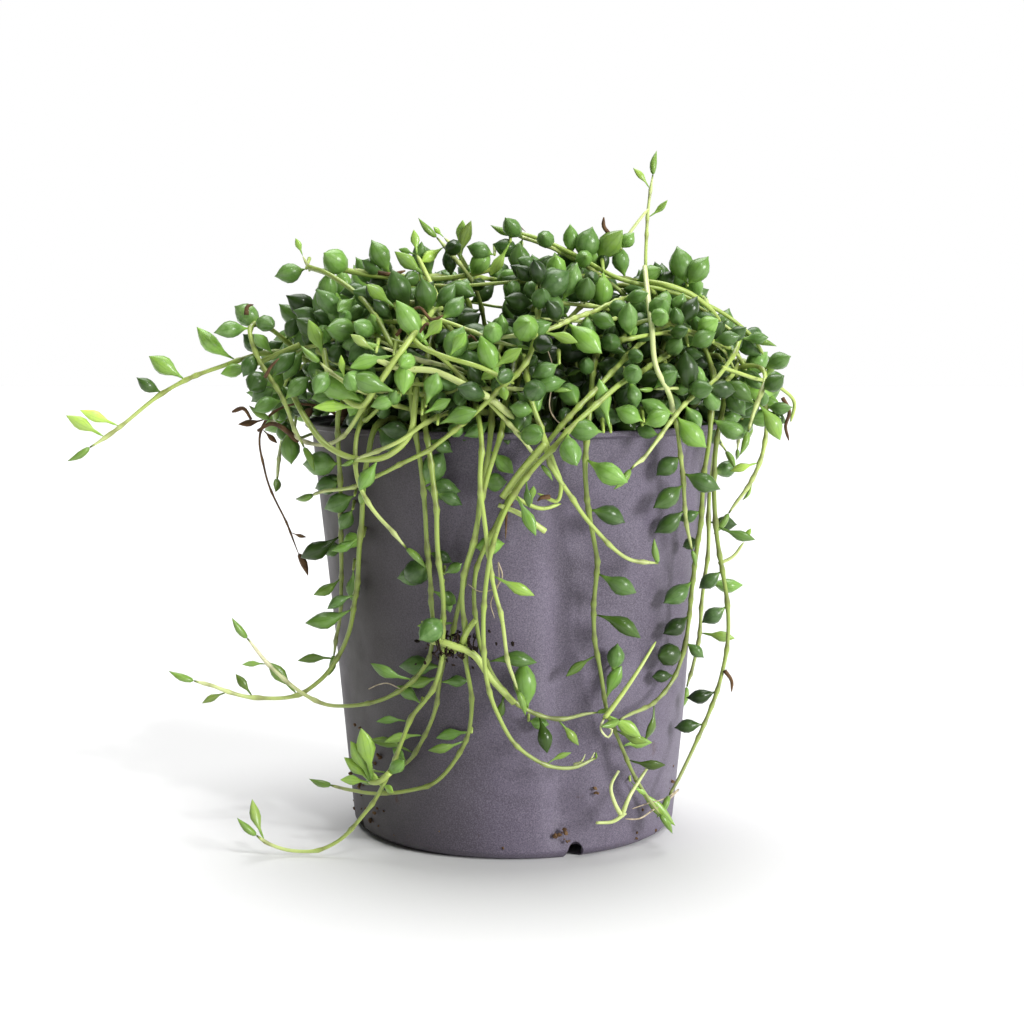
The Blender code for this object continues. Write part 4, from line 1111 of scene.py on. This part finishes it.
# Single leaves as the photo shows them: foot across and up, tip across and up (as seen in the pot's middle
# plane), depth in the mound or distance from the wall, form, age and width
moundLeaves = [
    (-59.3, 160, -68.4, 157.8, -18, "plump", 0.2, 1), (-36.1, 160, -43.5, 162.5, -20, "plump", 0.2, 1),
    (49.6, 155.2, 46.5, 166.5, -28, "plump", 0.2, 1), (49.6, 155.2, 55.6, 163.6, -30, "plump", 0.3, 1),
    (25.6, 159.5, 24.7, 148.1, -34, "plump", 0.4, 0.9), (23, 161.5, 31, 171, -26, "slim", 0.6, 1.15),
    (30.4, 165.5, 34.3, 170.3, -24, "plump", 0.3, 1.1), (21.4, 165, 22.4, 172, -25, "plump", 0.1, 1.1),
    (-5.5, 163.9, -13.5, 166.4, -22, "plump", 0.05, 1), (2.2, 164.6, -6.1, 167, -20, "plump", 0.1, 1),
    (-1, 167.6, -6.9, 157.8, -28, "young", 0.7, 1), (-24.2, 159, -26.3, 167.8, -24, "young", 0.35, 1.3),
    (-27.9, 163.9, -32.9, 165.6, -24, "young", 0.5, 1.3),
    (-24.2, 135.9, -33.8, 151.2, -62, "slim", 0.35, 0.9), (-19.1, 134.4, -14.4, 143.8, -66, "plump", 0.15, 1),
    (-4.8, 127.4, -9.7, 141.2, -70, "slim", 0.4, 0.9), (-39.5, 136.3, -46.9, 141.4, -66, "young", 0.85, 1.1),
    (-34.4, 135.3, -47.3, 131.7, -66, "young", 0.5, 1.3), (-33.3, 124.6, -47.7, 129.6, -66, "slim", 0.4, 1),
    (-25.4, 120.6, -22, 130.6, -68, "slim", 0.3, 1.3), (-26.5, 118.4, -18.1, 122.9, -70, "young", 0.5, 1.3),
    (-32.7, 123.8, -41.4, 120.6, -64, "ripe", 0.3, 1), (5.2, 118.9, -1.4, 120.6, -70, "plump", 0.3, 1.1),
    (27.9, 113.3, 24.5, 128.8, -63, "young", 0.45, 1.1), (37.4, 116.3, 29, 120.2, -60, "plump", 0.3, 1),
    (25.8, 113.3, 14.6, 114.4, -67, "plump", 0.3, 0.95), (37, 115.3, 45.3, 119, -58, "plump", 0.35, 1),
    (8.8, 138.5, 18.4, 139, -62, "young", 0.7, 1.1), (-22, 115.5, -10.4, 119.5, -71, "slim", 0.45, 1.1),
    (41, 126, 47, 131, -56, "ripe", 0.25, 1.1), (13, 133, 5, 129, -66, "plump", 0.25, 1),
    (-13.5, 127, -4.5, 131, -70, "young", 0.6, 1.2), (-52, 122, -57, 131, -56, "young", 0.6, 1),
    (7, 158, 11, 148, -44, "ripe", 0.3, 1), (50, 138, 58, 142, -44, "plump", 0.3, 1),
    (57, 137, 65, 141, -36, "ripe", 0.2, 1.1), (66, 139, 73, 140.5, -22, "slim", 0.2, 1.1),
]
wallLeaves = [
    (-23.8, 97.5, -20.3, 107.8, 3, "plump", 0.1, 1), (-23.8, 97.5, -15.3, 96.2, 3, "plump", 0.15, 0.95),
    (-24.7, 72.5, -34, 70.8, 3, "plump", 0.25, 0.95), (-20.3, 72.1, -15, 75.2, 3, "ripe", 0.3, 1),
    (-20.7, 68.2, -18.5, 60.7, 3, "slim", 0.35, 1), (-16.8, 58.1, -28.2, 56.8, 4, "young", 0.6, 1),
    (-21.2, 46.3, -33.6, 44.9, 2, "slim", 0.2, 1), (-22.9, 43.2, -31.7, 39.2, 3, "young", 0.6, 1),
    (-26.9, 33.5, -34.3, 39.2, 3, "slim", 0.4, 1), (-20.7, 41.4, -13.3, 40.6, 2, "slim", 0.2, 1),
    (-12.4, 25.2, -22.9, 23.5, 2, "young", 0.35, 1.2), (-30.8, 16, -35.6, 20.6, 3, "slim", 0.35, 1),
    (-4.9, 108.5, -0.1, 101.3, 4, "slim", 0.45, 1.1), (-7.6, 98.8, -1.9, 98.9, 3, "plump", 0.35, 1.2),
    (-8.7, 80, -2.6, 81, 3, "plump", 0.5, 1), (-46.6, 91, -50.4, 84.8, 3, "ripe", 0.2, 1.1),
    (-43.5, 83.1, -49.8, 80.8, 3, "ripe", 0.4, 1.2), (-50.5, 80.4, -55.5, 78, 3, "ripe", 0.3, 1.2),
    (-46.6, 73.4, -47, 64, 3, "slim", 0.45, 1), (3.4, 32.2, 2.5, 46.9, 3, "plump", 0.45, 0.75),
    (4.3, 28.7, 10.4, 27.6, 2.5, "plump", 0.3, 1.1), (31.3, 21.3, 40.6, 22.2, 3, "young", 0.6, 1.3),
    (26.4, 34.6, 31.5, 45.2, 4, "slim", 0.45, 0.95), (29, 43, 30.2, 51.8, 3, "plump", 0.1, 0.95),
    (-49, 105, -61, 104, 3, "plump", 0.2, 0.95), (-49, 99, -57.5, 97, 3, "plump", 0.15, 1),
    (-46, 95, -55, 91, 3, "ripe", 0.25, 1.1), (34.1, 10.8, 47.6, -2.8, 1.5, "young", 0.65, 0.6),
    (9, 124, 4, 118, 8, "slim", 0.4, 1),
]


def inMetres(route):
    return [Vector(point) * mm for point in route]


for route, *_ in [*shoots.values(), *driedEnds.values()]:
    for point in smoothPath(inMetres(route), 3 * mm):
        if point.z > mound["foot"]:
            keepInSight(point, 0.8 * mm)
            takeRoom(point, 0.8 * mm)
for across, up, tipAcross, tipUp, depth, *_ in moundLeaves:
    foot, tip = seenAt(across, up, depth), seenAt(tipAcross, tipUp, depth)
    centre = foot.lerp(tip, bead["middle"])
    keepInSight(centre, 2.4 * mm)
    takeRoom(centre, 0.22 * (tip - foot).length)

# What single strands have of their own: a pale blush, no added beads, a thinner stem, another tip
paleStrands = {
    "strand_pale_left": 1.0, "strand_knot_left": 0.7, "strand_mid_pale": 0.35, "strand_left_hanger_b": 0.2,
}
bareStrands = {"strand_tall_shoot", "strand_left_trailer", "strand_dry_thread"}
thinStrands = {"strand_dry_thread": 0.5, "strand_tall_shoot": 0.8}
budTips = {"strand_hook": (37, -52, 88), "strand_knot_low": (22, -50, 31)}
readings = {name: readStrand(nodes[name]) for name in sorted(nodes) if name not in ("pot", "soil")}
walks = {}
for name, (path, leaves, _) in readings.items():
    walk = walks[name] = wander(smoothPath(path, stem["step"]), stem["bend"])
    if name == "strand_dry_thread":
        for leaf in leaves:
            leaf["length"] *= 0.6
    if name == "strand_left_trailer":
        leaves[:] = [leaf for leaf in leaves if leaf["direction"].z > 0.35]
    if name == "strand_tall_shoot":
        leaves[:] = [leaf for leaf in leaves if leaf["kind"] == "young"]
    for leaf in leaves:
        leaf["foot"] = walk[nearestStep(walk, leaf["foot"])]
    if name.startswith("mound"):
        for leaf in leaves:
            leaf["direction"] = (0.5 * leaf["direction"] + 0.8 * looseDirection()).normalized()
        leaves[:] = [leaf for leaf in leaves if inMound(leaf["foot"] + leaf["direction"] * 5 * mm, 2 * mm)]
    top = max(range(len(walk)), key=lambda i: walk[i].z)
    for i, place in enumerate(walk[3::2]):
        takeRoom(place, 0.8 * mm)
        if name.startswith("strand") and 2 * i > top - 14 and place.y < -14 * mm and place.z > mound["foot"]:
            keepInSight(place, 1.0 * mm)  # in front, from a little before its top onwards
    for leaf in leaves:
        reach, size = bead["middle"] * leaf["length"], beadSize(leaf["length"])
        takeRoom(leaf["foot"] + leaf["direction"] * reach, size * (0.6 + 0.4 * leaf["full"]))
leafCount = sum(len(leaves) for _, leaves, _ in readings.values())
print("strands read:", len(readings), "with", leafCount, "leaves")

faceCount = 0
for name, (_, leaves, bud) in readings.items():
    most = 0 if name in bareStrands else 1 if name.startswith("strand") else 2
    bud = Vector(budTips[name]) * mm if name in budTips else bud
    thin, pale = thinStrands.get(name, 1), paleStrands.get(name, 0)
    piece = dressStem(name + "_fine", walks[name], leaves, bud, thin, pale, most)
    slot = next(part["material_slot"] for part in frame["record"]["subparts"] if part["node"] == name)
    if slot == "dry_stem":
        for i in range(len(piece.data.materials)):
            piece.data.materials[i] = drySkin
    finishPiece(piece, [name])
    faceCount += len(piece.data.polygons)
print("strands dressed,", faceCount, "faces")


# More stems inside the mound, so that it closes

def moundPoint(turn, share, depth):
    angle = min(share, 1) * math.pi / 2
    radius = mound["radius"] * math.sin(angle) * depth
    height = mound["foot"] + mound["rise"] * max(math.cos(angle), 0) ** mound["flatness"] * depth
    return Vector((radius * math.sin(turn), -radius * math.cos(turn), height - 40 * mm * max(share - 1, 0)))


def extraWalk(index):
    turn = index * goldenTurn + 0.7
    share = 0.1 + 0.9 * math.sqrt((index + 0.5) / mound["extraStems"])
    way = 1 if index % 2 else -1
    start = moundPoint(turn, share * 0.7, 0.5)
    reach = min(math.hypot(start.x, start.y), 46 * mm)
    root = Vector((reach * math.sin(turn), -reach * math.cos(turn), 0))
    points = [root + Vector((0, 0, height)) for height in (106 * mm, 113 * mm, 120 * mm)]
    points.append(moundPoint(turn, share * 0.85, 0.78))
    for _ in range(5):
        points.append(moundPoint(turn, share, 0.93))
        turn += way * min(14 * mm / (mound["radius"] * math.sin(min(share, 1) * math.pi / 2)), 0.8)
        share = min(share + chance.uniform(-0.03, 0.12), 1.12 if math.cos(turn) < 0.3 else 0.94)
    return smoothPath(points, stem["step"])


def sproutWalk(index):
    turn, reach = index * goldenTurn, mound["sproutReach"] * math.sqrt((index + 0.5) / mound["sprouts"])
    x, y = reach * math.sin(turn), -reach * math.cos(turn)
    lean = chance.uniform(0.05, 0.3)
    top = chance.uniform(20, 38) * mm
    points = [Vector((x * (1 + lean * t), y * (1 + lean * t), 106 * mm + top * t)) for t in (0, 0.3, 0.6, 1)]
    points.append(points[-1] + Vector((chance.uniform(-6, 6) * mm, chance.uniform(-6, 6) * mm, 2 * mm)))
    return smoothPath(points, stem["step"])


for i in range(mound["extraStems"]):
    name = f"mound_filler_{i + 1:02d}"
    walks[name] = wander(extraWalk(i), stem["bend"])
    finishPiece(dressStem(name, walks[name], [], None, 0.85, 0, 2))
mound["bareInside"] = 0
for i in range(mound["sprouts"]):
    piece = dressStem(f"centre_sprout_{i + 1:02d}", sproutWalk(i), [], None, 0.75, 0, 2)
    finishPiece(piece)
print("mound filled")


# The shoots, dried ends, roots and single leaves from the tables above

shootLeaves = {"young": (1.2, 0.62), "slim": (1, 0.42)}  # width and age


def growShoot(name, material, slot, route, thick, young=0.5, *leaves):
    walk = smoothPath(inMetres(route), 0.9 * mm)
    first, last = thick
    count = len(walk) - 1
    radii = [(first + (last - first) * i / count) * mm for i in range(count + 1)]
    if name not in bluntEnds:
        radii[-1] *= 0.35
        radii[-2] *= 0.75
    extra = {"young": [young] * len(walk), "shade": [0.5] * len(walk), "blush": [0.0] * len(walk)}
    tube = makeTube(name, walk, radii, material, stem["sides"], extra)
    copies = []
    for share, tip, kind in leaves:
        foot = walk[round(share * count)]
        direction = Vector(tip) * mm - foot
        across = Vector((direction.z, chance.uniform(-0.4, 0.4) * mm, -direction.x))
        wide, age = shootLeaves[kind]
        shade = chance.uniform(0.4, 0.8)
        copies.append(placeLeaf(kind, foot, direction, across, direction.length, wide, age, shade))
    finishPiece(joinAll(tube, copies, name) if copies else tube)


def setLeaves(name, leaves, placeOf):
    # one by one, each on the nearest stem, or on a short stalk from inside
    points = [point for walk in walks.values() for point in walk]
    copies = []
    for across, up, tipAcross, tipUp, depth, form, young, wide in leaves:
        foot, tip = placeOf(across, up, depth), placeOf(tipAcross, tipUp, depth)
        tip = seenAt(tipAcross, tipUp, min(max(tip.y, foot.y - 4 * mm), foot.y + 3 * mm) / mm)
        near = min(points, key=lambda point: (point - foot).length_squared)
        if (near - foot).length < 4 * mm:
            foot = near
        else:
            inside = foot + Vector((0, 9, 3)) * mm
            stalk = [foot.lerp(inside, i / 5) for i in range(6)]
            extra = {"young": [0.4] * 6, "shade": [0.5] * 6, "blush": [0.0] * 6}
            radii = [(0.35 + 0.05 * i) * mm for i in range(6)]
            copies.append(makeTube("stalk", stalk, radii, stemSkin, stem["sides"], extra))
        direction = tip - foot
        across = Vector((direction.z, chance.uniform(-0.3, 0.3) * direction.length, -direction.x))
        shade = chance.uniform(0.35, 0.8)
        copies.append(placeLeaf(form, foot, direction, across, direction.length, wide, young, shade))
    finishPiece(joinAll(copies[0], copies[1:], name))


setLeaves("moundLeaves", moundLeaves, seenAt)
setLeaves("wallLeaves", wallLeaves, seenOnWall)
for table, material, slot in (
    (shoots, stemSkin, "leafy_stem"), (driedEnds, drySkin, "dry_stem"), (fineRoots, rootSkin, "leafy_stem"),
):
    for name, shoot in table.items():
        growShoot(name, material, slot, *shoot)
print("shoots, dried ends and roots")


# The knot: dark threads wound round the place where the front strands meet, with soil in them

knot = {"middle": (-15, -59.5, 61.5), "reach": 5.5, "radius": 3.0, "turns": 4, "strands": 3, "crumbs": 34}


def knotRoute(index):
    middle = Vector(knot["middle"])
    points = []
    for i in range(12 * knot["turns"]):
        angle = math.tau * i / 12 + index
        share = 2 * i / (12 * knot["turns"]) - 1
        depth, height = math.cos(angle) * knot["radius"], math.sin(angle) * knot["radius"]
        around = Vector((share * knot["reach"], depth, height))
        sway = noise.noise_vector(around * 0.6 + Vector((index * 9, 0, 0))) * 2.2
        points.append((middle + around + sway) * mm)
    return points


for i in range(knot["strands"]):
    walk = knotRoute(i)
    extra = {"young": [0.5] * len(walk)}
    thread = makeTube(f"knotThread{i + 1}", walk, [0.2 * mm] * len(walk), peatSkin, 6, extra)
    finishPiece(thread)
places = []
for _ in range(knot["crumbs"]):
    off = Vector((chance.gauss(0, 5), chance.uniform(-3.5, 2), chance.gauss(0, 2.6)))
    places.append(((Vector(knot["middle"]) + off) * mm, chance.uniform(0.3, 0.8) * mm))
knotSoil = scatterCrumbs("knotSoil", places, peatSkin)
finishPiece(knotSoil)


# Dirt on the pot: crumbs at the places in the photo, across and up in millimetres, and a few more all round

dirtSpots = [
    (-44, 32), (-42, 25), (-46, 16), (-45, 11), (-41, 8), (-38, 9), (-39, 23), (-37, 26), (12, 7), (22, 19),
    (34, 3), (45, 15), (-2, 99), (-2, 96), (14, 6), (13, 8), (-43, 14), (-40, 6),
]
places = []
for x, z in dirtSpots:
    out = wallRadius(z * mm)
    y = -math.sqrt(out ** 2 - (x * mm) ** 2) if abs(x * mm) < out else 0
    for _ in range(3):
        off = Vector((chance.uniform(-1, 1), 0, chance.uniform(-1, 1))) * mm
        places.append((Vector((x * mm, y, z * mm)) + off, chance.uniform(0.3, 0.9) * mm))
for _ in range(40):
    turn, z = chance.uniform(0, math.tau), chance.uniform(2, 30) * mm * chance.random()
    place = Vector((wallRadius(z) * math.sin(turn), -wallRadius(z) * math.cos(turn), z + 0.5 * mm))
    places.append((place, chance.uniform(0.2, 0.6) * mm))
potDirt = scatterCrumbs("potDirt", places, drySkin)
finishPiece(potDirt)
print("knot and dirt")

for model in leafModels.values():
    bpy.data.objects.remove(model)


# Studio: pale floor, soft light, and the photo's camera

bpy.ops.object.select_all(action="DESELECT")
bpy.ops.mesh.primitive_plane_add(size=6, location=(0, 0, -0.05 * mm))
studioFloor = bpy.context.object
studioFloor.name = "studioFloor"
floorLook = {"Roughness": 0.9, "Specular IOR Level": 0.1, "Base Color": (0.75, 0.75, 0.75, 1)}
studioFloor.data.materials.append(startMaterial("floorSkin", floorLook)[0])

# Soft suns, so the floor is lit evenly: from where they shine, how wide they are, how bright
lights = {
    "key": dict(turn=53, rise=18, spread=22, strength=3.35),
    "top": dict(turn=178, rise=75, spread=56, strength=3.7),
    "glint": dict(turn=30, rise=48, spread=3, strength=0.6),
}
for name, light in lights.items():
    bpy.ops.object.light_add(type="SUN", location=(0, 0, 1))
    lamp = bpy.context.object
    lamp.name = name + "Light"
    lamp.data.angle = math.radians(light["spread"])
    lamp.data.energy = light["strength"]
    lamp.rotation_euler = (math.radians(90 - light["rise"]), 0, math.radians(light["turn"]))

# The air is white along the horizon, dimmer overhead, to the left and behind the camera
world = bpy.data.worlds.new("studioAir")
bpy.context.scene.world = world
world.use_nodes = True
airTree = world.node_tree
x, y, z = splitAxes(airTree, addNode(airTree, "ShaderNodeTexCoord").outputs["Generated"])
overhead = addRamp(airTree, z, [(0.20, 1.0), (0.42, 0.10)])
leftward = addRamp(airTree, addMath(airTree, "MULTIPLY_ADD", x, 0.5, 0.5), [(0.06, 0.25), (0.34, 1.0)])
frontward = addRamp(airTree, addMath(airTree, "MULTIPLY_ADD", y, 0.5, 0.5), [(0.08, 0.22), (0.5, 1.0)])
air = addMix(airTree, 1.0, addMix(airTree, 1.0, overhead, leftward, "MULTIPLY"), frontward, "MULTIPLY")
airTree.links.new(air, airTree.nodes["Background"].inputs["Color"])
airTree.nodes["Background"].inputs["Strength"].default_value = 1.0

photoView = {"sideways": -0.5 * mm, "downwards": 6.08, "lens": 68.07, "sensor": 36}
camera = bpy.data.cameras.new("photoCamera")
photoCamera = bpy.data.objects.new("photoCamera", camera)
bpy.context.scene.collection.objects.link(photoCamera)
photoCamera.location = (photoView["sideways"], -eyeDistance, eyeHeight)
photoCamera.rotation_euler = (math.radians(90 - photoView["downwards"]), 0, 0)
camera.lens = photoView["lens"]
camera.sensor_width = photoView["sensor"]
camera.clip_start = 0.01
bpy.context.scene.camera = photoCamera
bpy.context.scene.view_settings.view_transform = "Standard"

print("studio ready")
